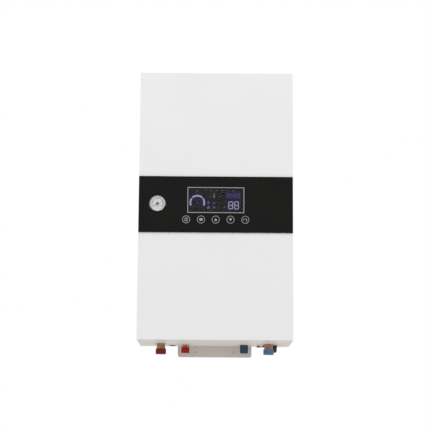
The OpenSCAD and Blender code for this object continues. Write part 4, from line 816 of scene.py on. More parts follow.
def make_display():
    low, high = box_of("lcd_module")
    depths = low.y - 0.15, low.y
    arcs, time, number, icons, rim = Shape(*depths), Shape(*depths), Shape(*depths), Shape(*depths), Shape()
    for start, end in ((44, 136), (144, 205), (36, -25)):
        arcs.arc(-54, 400, 17.8, 22.7, start, end, "lit_lavender")
    for x in (30.2, 39.8, 52.2, 61.8):
        eight(time, x, 414.2, 7.8, 14.4, 1, "lit_violet")
    for z in (418.8, 424.6):
        time.plate(disc(50, z, 0.9), "lit_violet")
    for x in (36.3, 53.2):
        eight(number, x, 380.6, 14.1, 23.4, 2.5, "lit_lavender")
    for outline, tone in (
        (disc(-54, 400, 2.2), "grey"),
        (strip(-57.5, 431, -50.5, 432.4), "grey"),
        ([(-56, 434), (-52, 434), (-54, 437)], "grey"),
        *[(strip(x - 2, 384, x + 2, 385.4), "faint") for x in (-68, -54, -40)],
        *[(strip(16.5 * i - 34, 434.8, 16.5 * i - 27, 437.2), "faint") for i in range(6)],
        (disc(-5.3, 425.4, 1.9), "bright"),
        ([(-8, 414.5), (-2.6, 414.5), (-3.4, 422.6), (-7.2, 422.6)], "bright"),
        (strip(-20.5, 416.8, -15.5, 418.2), "grey"),
        (strip(7, 416.8, 16, 418.6), "faint"),
        (disc(-21.7, 403.2, 1.5), "blue"),
        ([(-25, 396), (-18.4, 396), (-20.4, 401.6), (-23, 401.6)], "blue"),
        ([(-9, 396.4), (-1.6, 396.4), (-5.3, 403)], "grey"),
        (disc(8.6, 399.6, 1.6), "faint"),
        ([(-25.6, 382), (-17.8, 382), (-17.8, 387), (-21.7, 390.4), (-25.6, 387)], "blue"),
        (disc(-5.3, 385.8, 2.3), "bright"),
        *[(disc(x, z, 0.62, 8), "bright") for x, z in disc(-5.3, 385.8, 3.9, 8)],
        (disc(8.8, 384.8, 1.5), "faint"),
        (strip(23, 385.4, 26.4, 388.8), "blue"),
    ):
        icons.plate(outline, "dim_" + tone)
    rim.bars(low + BACK * 1.2, high, 1.6, 0, "lcd_body", 0.3)
    for name, shape in (("arc", arcs), ("time", time), ("number", number), ("icons", icons), ("rim", rim)):
        shape.done("display_" + name, slot="lcd")


def make_key_marks():
    front = box_of("control_glass")[0].y
    low, high = box_of("glass_markings")
    lcd_low, lcd_high = box_of("lcd_module")
    z = low.z + 12
    pitch = (high.x - low.x - 24) / 4
    keys = [(low.x + high.x) / 2 + (i - 2) * pitch for i in range(5)]
    lines, marks = Shape(), Shape(front - MARK, front)
    for x in keys:
        lines.lathe((x, front - MARK, z), BACK, [(0, 9.9), (0, 11.3), (MARK, 11.3), (MARK, 9.9)],
                    "ring_grey", 64, True)
    lines.bars(vec(lcd_low.x + 1.2, front - MARK, lcd_low.z + 1.2),
               vec(lcd_high.x - 1.2, front, lcd_high.z - 1.2), 2, 2, "frame_grey", 0.08, 1)
    lines.done("printed_lines", "glass_markings")
    power, spot, up, down, back = keys
    for half in (0, 180):
        marks.arc(power, z, 4, 5.6, half + 35, half + 165, "marking_grey", 16)
        turn = math.radians(half + 30)
        tip_x, tip_z = power + 4.8 * math.cos(turn), z + 4.8 * math.sin(turn)
        marks.plate([(tip_x + 2.2 * math.cos(turn + k), tip_z + 2.2 * math.sin(turn + k))
                     for k in (0.2, 2.4, 4.3)], "marking_grey")
    marks.plate(disc(power, z, 1.5, 12), "marking_grey")
    marks.plate(disc(spot, z, 5.2, 28, 3.9), "marking_grey")
    for x, tip in ((up, 4.4), (down, -4.4)):
        marks.plate([(x - 4.8, z - 0.85 * tip), (x + 4.8, z - 0.85 * tip), (x, z + tip)], "marking_grey")
    z -= 1.2
    marks.arc(back, z, 3.6, 5.2, -60, 150, "marking_grey")
    end_x, end_z = back + 4.4 * math.cos(math.radians(150)), z + 4.4 * math.sin(math.radians(150))
    marks.plate([(end_x - 3, end_z + 0.8), (end_x + 2.6, end_z + 1.9), (end_x - 1.2, end_z - 3.6)],
                "marking_grey")
    marks.done("key_symbols", slot="marking_grey", body="front_cover")


# Pressure gauge

GAUGE_ZERO, GAUGE_SWEEP, GAUGE_TOP = 214, 248, 4


def dial_angle(value):
    return GAUGE_ZERO - GAUGE_SWEEP * value / GAUGE_TOP


def make_gauge():
    low, high = box_of("gauge_case")
    lens_low, lens_high = box_of("gauge_lens")
    dial_low, dial_high = box_of("gauge_dial")
    x, z = (low.x + high.x) / 2, (low.z + high.z) / 2
    outer, seat = (high.x - low.x) / 2, (lens_high.x - lens_low.x) / 2
    rim, cup, lip = outer - 1.2, outer - 1.5, seat - 1.2
    depth, lens_in = high.y - low.y, lens_low.y - low.y
    body = Shape()
    body.lathe((x, low.y, z), BACK, [
        (0.9, lip), (0.2, lip + 0.5), (0, lip + 0.9), (0.4, rim - 0.8), (1.4, rim - 0.2), (2.4, rim),
        (6.6, rim), (7.2, rim - 0.1), (7.5, cup + 0.1), (7.6, cup), (depth - 1.2, cup),
        (depth, cup - 1.2), (depth, 0),
        (depth - 2.5, 0), (depth - 2.5, seat), (lens_in, seat), (lens_in, lip)], "gauge_silver", 96, True)
    body.rod((x, dial_high.y, z), (x, high.y - 2.5, z), 5, "brass", chamfer=0.4)
    body.box((x - 2.5, dial_high.y, z - seat), (x + 2.5, dial_high.y + 5, z + seat), "gauge_silver", 0.3)
    body.done("gauge_body", "gauge_case")

    face = dial_low.y
    marks = Shape(face - 0.12, face)
    marks.arc(x, z, 15.2, 16.3, GAUGE_ZERO, GAUGE_ZERO - GAUGE_SWEEP, "dial_ink", 72)
    marks.arc(x, z, 16.6, 17.9, dial_angle(3), dial_angle(4), "dial_red")
    for k in range(21):
        inner, half = (14.3, 0.28) if k % 5 else (13.2, 0.45)
        marks.plate(rotated(strip(inner, -half, 16.1, half), x, z, dial_angle(k / 5)), "dial_ink")
    marks.plate(strip(x - 2.6, z - 9.6, x + 2.6, z - 8.2), "dial_ink")
    marks.done("dial_marks", slot="dial_white")
    for value in range(GAUGE_TOP + 1):
        turn = math.radians(dial_angle(value))
        curve = bpy.data.curves.new("dial_number", "FONT")
        curve.body = str(value)
        curve.size = 4.6 * MM
        curve.align_x, curve.align_y = "CENTER", "CENTER"
        curve.extrude = 0.04 * MM
        text = bpy.data.objects.new("dial_number", curve)
        bpy.context.scene.collection.objects.link(text)
        bpy.context.view_layer.update()
        mesh = bpy.data.meshes.new_from_object(text)
        bpy.data.objects.remove(text)
        place = row((x + 10.4 * math.cos(turn), face - 0.05, z + 10.4 * math.sin(turn)))
        mesh.transform(Matrix.Translation(place) @ turned("X", 90))
        piece("dial_number_%d" % value, mesh, ["dial_ink"], slot="dial_white")

    front = box_of("gauge_needle")[0].y
    needle = Shape(front + 0.2, front + 0.7)
    outline = [(-5.2, -1.1), (-5.2, 1.1), (-3, 0.9), (0, 1.3), (16.2, 0.35), (17.2, 0), (16.2, -0.35),
               (0, -1.3), (-3, -0.9)]
    needle.plate(rotated(outline, x, z, GAUGE_ZERO), "needle_grey")
    needle.lathe((x, front, z), BACK, [(0, 0), (0, 3.6), (0.25, 4.7), (0.8, 4.7), (0.8, 1), (9, 1), (9, 0)],
                 "needle_black", 32)
    needle.done("gauge_pointer", "gauge_needle")

    nuts = Shape()
    tube_low, tube_high = box_of("gauge_capillary")
    top = vec((tube_low.x + tube_high.x) / 2, tube_low.y + 1.5, tube_high.z)
    nuts.hexagon(top + DOWN * 8, UP, 7.5, 4.2, "brass", 1.6)
    nuts.hexagon((x, tube_high.y - 9, tube_low.z + 1.5), BACK, 7.8, 4.4, "brass", 1.6)
    nuts.done("capillary_nuts", slot="brass")


make_glass()
make_display()
make_key_marks()
make_gauge()


# Connections under the casing: crest of the thread, bore, radius of the pipe above and ribs of the cap

PORTS = (
    ("heating_flow_cap", 13.2, 7.5, 9, 30),
    ("hot_water_cap", 10.5, 6, 7.5, 24),
    ("cold_water_cap", 10.5, 6, 7.5, 24),
    ("heating_return_cap", 13.2, 7.5, 9, 30),
)
PIPE_PITCH = 1.814
THREAD_DEPTH = 1.16
BASE = box_of("base_panel")[0].z
SHEET = 1.2


def make_connections():
    nipples = Shape()
    for node, crest, bore, pipe_r, ribs in PORTS:
        low, high = box_of(node)
        cap = vec((low.x + high.x) / 2, (low.y + high.y) / 2, low.z)
        start = cap + UP * 1.5
        nipples.thread(start, UP, BASE - start.z + 1.1, crest - THREAD_DEPTH, crest, PIPE_PITCH,
                       "thread_brass", 40, bore)
        foot = vec(cap.x, cap.y, BASE + SHEET)
        nipples.hexagon(foot, UP, 12, crest + 4.8, "brass", bore)
        top = box_of("pipe_nipples")[1].z - foot.z - 12
        nipples.lathe(foot + UP * 12, UP, [
            (0, bore), (0, pipe_r + 2), (top - 0.6, pipe_r + 2), (top, pipe_r + 1.4), (top, pipe_r + 0.1),
            (top - 8, pipe_r + 0.1), (top - 8, bore)], "brass", 40, True)
        outer, inner, tall = (high.x - low.x) / 2, crest + 0.85, high.z - low.z
        shape = Shape()
        shape.skin([[cap + UP * along + (radius - (groove if i % 4 in (0, 1) else 0))
                     * spoke(RIGHT, BACK, math.pi * i / ribs / 2) for i in range(4 * ribs)]
                    for along, radius, groove in (
                        (0, outer - 0.9, 0), (0.6, outer - 0.2, 0), (1.4, outer - 0.1, 0.45),
                        (tall - 3.6, outer - 0.1, 0.45), (tall - 3, outer, 0), (tall - 0.4, outer, 0),
                        (tall, outer - 0.4, 0), (tall, inner, 0), (1.2, inner, 0))], SLOTS[node])
        shape.done(node.replace("_cap", "_ribbed_cap"), node)
    nipples.done("threaded_nipples", "pipe_nipples")


# Cable gland, drain grommet, filling tap and cover screws

def make_gland():
    low, high = box_of("cable_gland")
    at = middle("cable_gland")
    foot, tip, above = vec(at.x, at.y, BASE), vec(at.x, at.y, low.z), high.z - BASE
    shape = Shape()
    shape.hexagon(foot + DOWN * 7, UP, 7, 15.5, "gland_black", 8.4)
    shape.lathe(tip, UP, [(0, 8.2), (0, 10.6), (0.6, 11.3), (4, 13.3), (13.6, 13.5), (14, 13), (14, 8.2)],
                "gland_black", 64, True)
    for rib in circle(tip + UP * 9, RIGHT, BACK, 13.2, 24):
        shape.block(rib, (0.5, 0.5, 4.2), "gland_black", 0.1)
    shape.lathe(tip + UP * 1.5, UP, [(0, 8.05), (0, 9.2), (10, 9.4), (10, 8.05)], "grommet_black", 40, True)
    shape.lathe(foot, UP, [(0, 8.1), (0, 11), (above - 0.5, 11), (above, 10.5), (above, 8.1)], "gland_black",
                48, True)
    shape.hexagon(foot + UP * SHEET, UP, 5, 15.4, "gland_black", 10)
    shape.done("gland_body", "cable_gland")


def make_grommet():
    low, high = box_of("drain_grommet")
    at, tall = middle("drain_grommet"), high.z - low.z
    shape = Shape()
    shape.lathe((at.x, at.y, low.z), UP, [
        (0.3, 7), (0, 7.5), (0, 9.8), (0.4, 10.7), (0.9, 11), (1.4, 10.8), (1.4, 9), (tall - 1.4, 9),
        (tall - 1.4, 10.8), (tall - 0.9, 11), (tall - 0.3, 10.6), (tall, 9.8), (tall, 7.5), (tall - 0.3, 7)],
        "grommet_black", 56, True)
    shape.done("grommet_ring", "drain_grommet")


def make_fill_tap():
    low, high = box_of("fill_tap")
    lever_low, lever_high = box_of("fill_tap_lever")
    x, y, top = high.x - 8, high.y - 8, high.z - BASE - 20
    body = Shape()
    body.hexagon((x, y, BASE + 8), UP, 12, 8, "brass")
    body.lathe((x, y, BASE + 20), UP, [(0, 0), (0, 6.8), (14, 6.8), (14.5, 8), (top - 1.5, 8),
                                       (top - 0.5, 7), (top, 0)], "brass", 32)
    body.lathe((x, y, BASE + SHEET), UP, [(0, 3.1), (0, 5), (6.8, 5), (6.8, 3.1)], "brass", 28, True)
    arm, nozzle = vec(x, y, BASE + 32.7), vec(x, y, BASE + 45)
    body.rod(arm + LEFT * 7, (low.x, y, arm.z), 4, "brass")
    body.hexagon(arm + LEFT * 18, RIGHT, 7, 6, "brass")
    body.rod(nozzle + FRONT * 7, (x, low.y, nozzle.z), 4, "brass")
    body.hexagon(nozzle + FRONT * 17, BACK, 7, 6, "brass")
    body.done("tap_body", "fill_tap")

    lever = Shape()
    bar = lever_low.z + 0.5
    lever.rod((x, y, bar), (x, y, lever_high.z), 3, "tap_bronze", chamfer=0.4)
    lever.box((x - 16, y - 2.5, bar), (x, y + 2.5, bar + 2.5), "tap_bronze", 0.6)
    lever.lathe((lever_low.x + 5, y, lever_low.z), UP, [
        (0, 0), (0, 3.6), (0.6, 4.7), (1.5, 5), (3.5, 5), (4.4, 4.6), (5, 3.6), (5, 0)], "tap_bronze", 20)
    lever.screw_head((x, y, bar), DOWN, 2.2, 0.3, False)
    lever.done("tap_lever", "fill_tap_lever")


def make_cover_screws():
    shape = Shape()
    low, high = box_of("cover_screws")
    base = box_of("front_cover")[0].z
    for x in (low.x + 3.2, high.x - 3.2):
        at = (x, (low.y + high.y) / 2, base)
        shape.screw_head(at, DOWN, 3.2, 1.45)
        shape.thread(at, UP, high.z - base, 1.55, 2, 0.7, "screw_zinc", 20)
    shape.done("cover_screw_heads", "cover_screws")


make_connections()
make_gland()
make_grommet()
make_fill_tap()
make_cover_screws()


# Casing: fasteners and knock-out discs

CASE_TALL = 790
RIVET_Y = -8.25
VESSEL_LOW, VESSEL_HIGH = box_of("expansion_vessel")
VESSEL_R = (VESSEL_HIGH.x - VESSEL_LOW.x) / 2
VESSEL = vec(middle("expansion_vessel").x, -56, VESSEL_HIGH.z - VESSEL_R)
VESSEL_PORT = VESSEL + DOWN * (VESSEL_R + 14)


def make_case_fasteners():
    shape = Shape()
    rivet = [(0.4, 0), (0.4, 0.9), (0, 1.3), (0, 2.4), (2.4, 2.4), (2.4, 4), (2.9, 3.9), (3.6, 2.5),
             (3.6, 0)]
    for side in BOTH:
        places = [(side * 225, share * CASE_TALL, LEFT * side) for share in (0.08, 0.5, 0.92)]
        for x, z, way in (*places, (side * 180, 0, UP), (side * 180, CASE_TALL, DOWN)):
            shape.lathe((x, RIVET_Y, z), way, rivet, "screw_zinc", 20)
        screw = (side * 80, -14, 24)
        shape.screw_head(screw, FRONT, 4, 3)
        shape.thread(screw, BACK, 5.2, 1.6, 2, 0.7, "screw_zinc", 16)
    shape.hexagon((VESSEL.x, -12.8, VESSEL.z), BACK, 4, 7, "screw_zinc", 4)
    shape.done("rivets_and_screws", "case_fasteners")


def make_plate_discs():
    """Knock-out discs that close the lower fixing holes until they are needed. Their plate_shade is the
    plate's paint darkened, painted shade for the recess they sit in.
    """
    shape = Shape()
    low, high = box_of("lower_bracket")
    for side in BOTH:
        shape.lathe((side * 58, high.y - 1.3, low.z + 16.5), BACK, [
            (0, 0), (0, 2.9), (0.2, 3.3), (0.9, 3.35), (0.9, 0)], "plate_shade", 28)
    shape.done("plate_discs", slot="case_white")


# Heating vessel with its heater, thermostat and air vent, and the expansion vessel

TANK = vec(-139.5, -95, 300)
TANK_TALL = 355
OUTLET = vec(-139.5, -95, 631)
VENT_WAY = vec(1, -1, 0).normalized()


def make_tank():
    shape = Shape()
    r, tall, neck, wall = 50, TANK_TALL, 12, 1.5
    shape.lathe(TANK, UP, [
        (0, 11), (0, r - 5), (0.6, r - 2.6), (2, r - 0.8), (4.5, r), (tall - 4.5, r), (tall - 2, r - 0.8),
        (tall - 0.6, r - 2.6), (tall, r - 5), (tall, 36), (tall + neck - 0.8, 36), (tall + neck, 35.2),
        (tall + neck, 30.5), (tall - wall, 30.5), (tall - wall, r - 6), (tall - 5, r - wall), (5, r - wall),
        (wall, r - 6), (wall, 11)], "tank_steel", 96, True)
    for up, radius, thick, sides in ((3.2, r - 0.3, 1.1, 96), (tall - 3.2, r - 0.3, 1.1, 96),
                                     (tall + 0.2, 36.4, 1.2, 72), (-0.3, 11.2, 1, 40)):
        shape.bead(TANK + UP * up, UP, radius, thick, "weld", sides)
    shape.tube(TANK + DOWN * 9, TANK + UP * wall, 11, 9.1, "tank_steel")
    shape.tube(OUTLET + LEFT * 48.5, OUTLET + LEFT * 59, 11, 9.1, "tank_steel")
    shape.bead(OUTLET + LEFT * 49.2, LEFT, 11.2, 1.2, "weld")
    shape.tube(OUTLET + VENT_WAY * 48.5, OUTLET + VENT_WAY * 61.3, 5, 3.5, "tank_steel", 24)
    shape.bead(OUTLET + VENT_WAY * 49.9, VENT_WAY, 5.2, 0.9, "weld", 24)
    shape.done("tank_shell", "heating_tank")


def make_straps():
    """Three straps with buckles and the taped seam of the foam jacket."""
    shape = Shape()
    r = 60.3
    turn = turned("Z", 25)
    for up in (30, 150, 310):
        at = TANK + UP * up
        shape.lathe(at + DOWN * 8, UP, [(0, r), (0, r + 0.6), (0.8, r + 0.9), (15.2, r + 0.9), (16, r + 0.6),
                                        (16, r)], "strap_grey", 96, True)
        buckle = at + turn @ FRONT * (r + 1.6)
        shape.block(buckle, (13, 1.2, 9.8), "module_dark", 0.6, turn)
        for side in BOTH:
            post = buckle + turn @ vec(side * 7.5, -0.6, 0)
            shape.rod(post + DOWN * 8.5, post + UP * 8.5, 1.4, "screw_zinc", 14)
    turn = turned("Z", -52)
    seam = TANK + UP * TANK_TALL / 2 + turn @ FRONT * (r + 0.1)
    shape.block(seam, (8, 0.45, 171), "cable_black", 0.2, turn)
    shape.done("jacket_straps", slot="jacket_foam")


def make_elements():
    head = TANK + UP * (TANK_TALL + 12)
    apart, half, reach = 17, 11, 270
    shape = Shape()
    shape.hexagon(head, UP, 10, 38, "brass")
    shape.lathe(head + DOWN * 1.2, UP, [(0, 36.2), (0, 37.4), (1.1, 37.4), (1.1, 36.2)],
                "module_green", 72, True)
    shape.thread(head + DOWN * 10, UP, 9.9, 28.5, 29.7, 1.8, "brass", 60)
    for x in (-apart, 0, apart):
        bend = [head + vec(x, half * math.cos(a), -reach - half * math.sin(a))
                for a in (math.pi * k / 12 for k in range(13))]
        shape.sweep([head + vec(x, half, 8), *bend, head + vec(x, -half, 8)], 4.2, "rod_sheath", 16)
        for side in BOTH:
            foot = head + vec(x, side * half, 10)
            shape.lathe(foot + DOWN * 0.5, UP, [(0, 0), (0, 5.8), (0.8, 5.8), (1.3, 4.5), (1.3, 0)],
                        "brass", 24)
            shape.lathe(foot, UP, [(0, 0), (0, 4.2), (4.2, 4), (5.2, 3.2), (5.2, 0)], "ceramic", 24)
            shape.thread(foot + UP * 5, UP, 7, 1.7, 2, 0.7, "screw_zinc", 16)
            shape.hexagon(foot + UP * 5.2, UP, 2, 3.6, "screw_zinc", 1.6)
            shape.hexagon(foot + UP * 8.4, UP, 2.2, 3.6, "screw_zinc", 1.6)
        eye = head + vec(x, -half, 17.3)
        shape.lathe(eye, UP, [(0, 2.1), (0, 4.5), (0.9, 4.5), (0.9, 2.1)], "contact_tin", 24, True)
        shape.rod(eye + vec(0, -4, 0.5), eye + vec(0, -11.5, 0.5), 2.2, "contact_tin", 18, 0.3)
    link = head + vec(0, half, 17.3)
    shape.moulded(link - vec(22, 4, 0), link + vec(22, 4, 1), 4, "copper", "Z", 0.2)
    shape.done("element_head", "heating_elements")


def make_thermostat():
    low, high = box_of("limit_thermostat")
    at = vec((low.x + high.x) / 2, low.y, (low.z + high.z) / 2)
    shape = Shape()
    shape.moulded(at + vec(-12.5, -0.6, -10.5), at + vec(12.5, 0.4, 10.5), 2, "module_dark")
    shape.tube(at + FRONT * 2.8, at + BACK * 0.6, 5.2, 3.2, "contact_tin")
    for side, up in CORNERS:
        shape.block(at + vec(side * 17.5, 5, up * 6), (0.6, 4.5, 3.2), "contact_tin", 0.2)
    for side in BOTH:
        shape.screw_head(at + vec(side * 9.5, -0.6, -7.5), FRONT, 1.8, 0.9)
    shape.done("thermostat_trim", slot="module_dark")
    button = Shape()
    low, high = box_of("reset_button")
    length, r = high.y - low.y - 0.1, (high.x - low.x) / 2
    button.lathe((at.x, low.y, at.z), BACK, [(0, 0), (0.1, r * 0.55), (0.5, r * 0.85), (1.2, r),
                                             (length - 0.8, r), (length, r - 0.9), (length, 0)],
                 "button_red", 28)
    button.done("reset_cap", "reset_button")


def make_air_vent():
    low, high = box_of("air_vent")
    foot = middle("air_vent")
    foot.z = low.z
    r = (high.x - low.x) / 2
    shape = Shape()
    shape.lathe(foot, UP, [
        (0, 0), (0, 9), (0.8, 10.2), (3, 10.6), (4.5, r - 0.4), (6, r), (21, r), (21.8, r - 0.7), (22.6, r),
        (26.2, r), (27, r - 0.6), (29.8, r - 1.2), (32.5, 7.5), (34, 6), (34, 0)], "brass", 56)
    shape.hexagon(foot + UP * 26.8, UP, 5, 9.4, "brass")
    shape.lathe(foot + UP * 34, UP, [(0, 0), (0, 3), (0.6, 3.1), (3.8, 3.1), (5, 2.2), (5, 0)],
                "module_dark", 20)
    shape.hexagon(OUTLET + VENT_WAY * 53.5, VENT_WAY, 7.5, 7.2, "brass", 5)
    shape.done("vent_body", "air_vent")


def make_vessel():
    """The expansion vessel: two pressed shells, their seam, port, stud and charging valve."""
    r, half = VESSEL_R, 42
    side = r - 5
    shape = Shape()
    profile = [(half, 0)]
    for k in range(1, 40):
        c, s = math.cos(math.pi * k / 40), math.sin(math.pi * k / 40)
        profile.append((half * math.copysign(abs(c) ** 0.56, c), side * s ** 0.56))
    shape.lathe(VESSEL, FRONT, profile + [(-half, 0)], "vessel_red", 120)
    shape.lathe(VESSEL, FRONT, [(-2.4, side - 2), (-2.4, r - 1.2), (-1.6, r - 0.3), (0, r), (1.6, r - 0.3),
                                (2.4, r - 1.2), (2.4, side - 2)], "vessel_red", 120, True)
    for way in BOTH:
        shape.bead(VESSEL + FRONT * way * 41.5, FRONT, 45, 1.2, "vessel_red", 96)
    port = VESSEL + DOWN * r
    shape.tube(port + UP * 4, VESSEL_PORT, 7, 6.1, "zinc_steel")
    shape.bead(port + UP * 0.5, UP, 7.2, 1.2, "weld", 28)
    shape.hexagon(port + DOWN * 14.5, UP, 10.5, 10.5, "brass", 6.1)
    shape.thread(VESSEL + BACK * (half - 1), BACK, 6.2, 3.6, 4, 1.25, "screw_zinc", 24)
    valve = VESSEL + FRONT * half
    shape.lathe(valve + BACK * 0.8, FRONT, [(0, 0), (0, 7.5), (1.6, 6.2), (2.4, 4), (2.4, 0)], "weld", 28)
    shape.lathe(valve + FRONT * 0.8, FRONT, [(0, 0), (0, 3.4), (2.8, 3.4), (2.8, 4.2), (3.4, 4.5),
                                             (8.2, 4.5), (9.2, 3.6), (9.2, 0)], "module_dark", 24)
    shape.done("vessel_shells", "expansion_vessel")


make_case_fasteners()
make_plate_discs()
make_tank()
make_straps()
make_elements()
make_thermostat()
make_air_vent()
make_vessel()


# Pump, valves, plate heat exchanger and flow sensor

PUMP = vec(-20, -95, 190)
VOLUTE_BACK, VOLUTE_FRONT, MOTOR_FRONT = (vec(PUMP.x, y, PUMP.z) for y in (-71, -119, -201))
DIVERTER = vec(-160, -95, 95)
DRAIN = vec(-127, -33, 0)


def diagonals(at, radius):
    """Four places round an axis that runs from front to back."""
    return [at + radius * spoke(RIGHT, UP, math.radians(a)) for a in (45, 135, 225, 315)]


def make_pump():
    shape = Shape(VOLUTE_BACK.y, VOLUTE_BACK.y + 0.8)
    shape.lathe(VOLUTE_BACK, FRONT, [
        (0, 0), (0, 34), (1.5, 39.5), (4.5, 43.5), (9, 45.5), (14, 46), (34, 46), (38.5, 44.8), (39.5, 43.5),
        (40, 45.8), (47, 45.8), (48, 44.8), (48, 36.2), (18.2, 36.2), (18.2, 0)], "pump_iron", 72)
    for way in (UP, DOWN):
        shape.lathe(PUMP + way * 37.5, way, [(0, 9.1), (0, 21.5), (4, 18.5), (9, 16.5), (15.5, 16),
                                             (27.5, 16), (27.5, 9.1)], "pump_iron", 44, True)
        shape.hexagon(PUMP + way * 50.5, way, 12, 19, "brass", 9.4)
    for lug in diagonals(VOLUTE_FRONT, 44.5):
        shape.rod(lug + BACK * 14, lug, 6.2, "pump_iron", 24, 1)
        shape.rod(lug, lug + FRONT * 5, 4.4, "screw_zinc", 24, 0.5)
        # a black hexagon on each bolt's end paints the shade of its socket
        shape.hexagon(lug + FRONT * 4.6, FRONT, 0.5, 2.3, "needle_black")
    arrow = [(-4, -16), (4, -16), (4, 4), (8.5, 4), (0, 16), (-8.5, 4), (-4, 4)]
    shape.plate(rotated(arrow, PUMP.x, PUMP.z, 0), "pump_iron")
    shape.done("volute_casting", "pump_volute")

    motor = Shape()
    motor.lathe(VOLUTE_FRONT, FRONT, [
        (0, 5.1), (0, 43.5), (0.6, 44), (10, 44), (10.6, 43.2), (72, 43.2), (72.8, 44), (78.5, 44),
        (81.2, 42.5), (82, 39.5), (82, 12.5), (81.5, 11.5), (81.5, 0), (79, 0), (79, 5.1), (72, 5.1),
        (72, 10), (79, 10), (79, 41), (70, 41), (70, 29), (20, 29), (20, 41), (3, 41), (3, 10), (10, 10),
        (10, 5.1)],
        "motor_black", 72, True)
    for angle in range(-135, 136, 9):
        rib = VOLUTE_FRONT + FRONT * 41.5 + 44 * spoke(RIGHT, UP, math.radians(angle))
        motor.block(rib, (1.6, 30.5, 0.7), "motor_black", 0.4, turned("Y", -angle))
    plug = MOTOR_FRONT + BACK * 0.6
    motor.lathe(plug, FRONT, [(0, 0), (0, 10.5), (1.8, 10.5), (2.6, 9.8), (2.6, 0)], "screw_zinc", 40)
    # a black bar paints the shade of the plug's screwdriver slot
    motor.block(plug + FRONT * 2.6, (8.5, 0.4, 0.9), "needle_black")
    for screw in diagonals(MOTOR_FRONT, 33):
        motor.screw_head(screw, FRONT, 2.8, 1.4)
    motor.done("motor_housing", "pump_motor")

    wires = Shape()
    low, high = vec(-88, -198, 165), vec(-60.5, -152, 215)
    wires.moulded(low, high, 4, "module_dark", "X", 0.6)
    wires.moulded(low - vec(3.2, 0.6, 0.6), (low.x + 4, high.y + 0.6, high.z + 0.6), 4.5,
                  "module_dark", "X", 1)
    for y in (low.y + 6, high.y - 6):
        for z in (low.z + 6, high.z - 6):
            wires.screw_head((low.x - 3.2, y, z), LEFT, 2.2, 1)
    for way, z in ((UP, high.z), (DOWN, low.z)):
        foot = (-73, -175, z)
        wires.hexagon(foot, way, 3, 6.6, "gland_black", 3.2)
        wires.lathe(foot, way, [(3, 3.2), (3, 5.6), (9, 5.6), (10.5, 4.5), (10.5, 3.2)], "gland_black", 24,
                    True)
    wires.done("motor_wire_box", slot="motor_black")


def make_diverter():
    shape = Shape()
    for way, reach in ((UP, 50), (DOWN, 50), (RIGHT, 36)):
        end = DIVERTER + way * reach
        shape.hexagon(end - way * 12, way, 12.6, 17.2, "brass", 9.4)
        shape.lathe(end - way * 14.5, way, [(0, 13.8), (0, 14.9), (1.4, 14.9), (1.4, 13.8)], "brass", 40,
                    True)
    front, back = DIVERTER + FRONT * 22, DIVERTER + BACK * 22
    shape.hexagon(back + FRONT * 4, BACK, 8.5, 15, "brass")
    shape.tube(front, front + BACK * 3.5, 20.5, 18.8, "brass")
    for angle in (150, 180, 210):
        rib = back + FRONT * 20 + 19.2 * spoke(RIGHT, UP, math.radians(angle))
        shape.block(rib, (0.7, 12, 0.7), "brass", 0.3)
    shape.done("diverter_nuts", slot="brass")

    low, high = box_of("diverter_actuator")
    at = vec((low.x + high.x) / 2, low.y, (low.z + high.z) / 2)
    base, bore, body = Shape(), Shape(), Shape()
    base.moulded((low.x, high.y - 14, low.z), high, 6, "module_dark", "Y", 0.8)
    bore.rod((at.x, high.y - 7.9, at.z), (at.x, high.y + 10, at.z), 4.1, "module_dark")
    piece("actuator_base", carved(base, bore), ["module_dark"], "diverter_actuator")
    body.moulded(low + vec(0.6, 4, 0.6), high - vec(0.6, 14.3, 0.6), 7, "module_grey", "Y", 2.5)
    body.moulded(at + vec(-15, 0, -20), at + vec(15, 4.8, 14), 4, "module_grey", "Y", 1.2)
    for k in range(5):
        body.block(at + vec(0, 3.2, 18 + k * 2.1), (12, 0.9, 0.5), "module_dark", 0.2)
    # A black block paints the shade inside the lever's slot
    slot = at + vec(-23.8, 30, 0)
    body.block(slot, (0.6, 14, 3), "needle_black", 0.2)
    body.block(slot + vec(-2.5, 9, 0), (3.5, 2, 4.2), "plastic_white", 0.7)
    for side, up in CORNERS:
        body.screw_head(at + vec(side * 19.5, 4, up * 24.5), FRONT, 2.1, 1)
    plug = vec(high.x - 0.8, -175, at.z)
    body.moulded(plug - vec(0, 8, 9.5), plug + vec(9, 8, 9.5), 1.6, "plastic_white", "X", 0.5)
    body.done("actuator_cover", slot="module_grey")


def make_exchanger():
    low, high = vec(115, -112, 70), vec(165, -38, 262)
    shape = Shape()
    inset = vec(0.8, 1.6, 1.6)
    shape.moulded(low + inset, high - inset, 10.5, "copper", "X", 0.2)
    count, thick = 12, 1.6
    for i in range(count):
        x = low.x + i * (high.x - low.x - thick) / (count - 1)
        shape.moulded((x, low.y, low.z), (x + thick, high.y, high.z), 12, "tank_steel", "X", 0.5, 6)
    for k in range(11):
        for side in BOTH:
            rib = (high.x + 0.2, (low.y + high.y) / 2 + side * 14.5, low.z + 34 + k * 12.4)
            shape.block(rib, (0.6, 16.5, 1.7), "tank_steel", 0.6, turned("X", side * 24))
    for z in (89, 243):
        for y, r in ((-95, 9.1), (-55, 7.6)):
            start = vec(low.x, y, z)
            shape.tube(start, start + LEFT * 12, r + 1.9, r, "tank_steel")
            shape.bead(start + LEFT * 0.4, LEFT, r + 2.1, 1.1, "copper", 36)
            shape.lathe((high.x, y, z), RIGHT,
                        [(0, 0), (0, 10.5), (0.7, 9.8), (0.7, 8.5), (0.2, 7.8), (0.2, 0)], "tank_steel", 40)
    shape.done("plate_pack", "heat_exchanger")


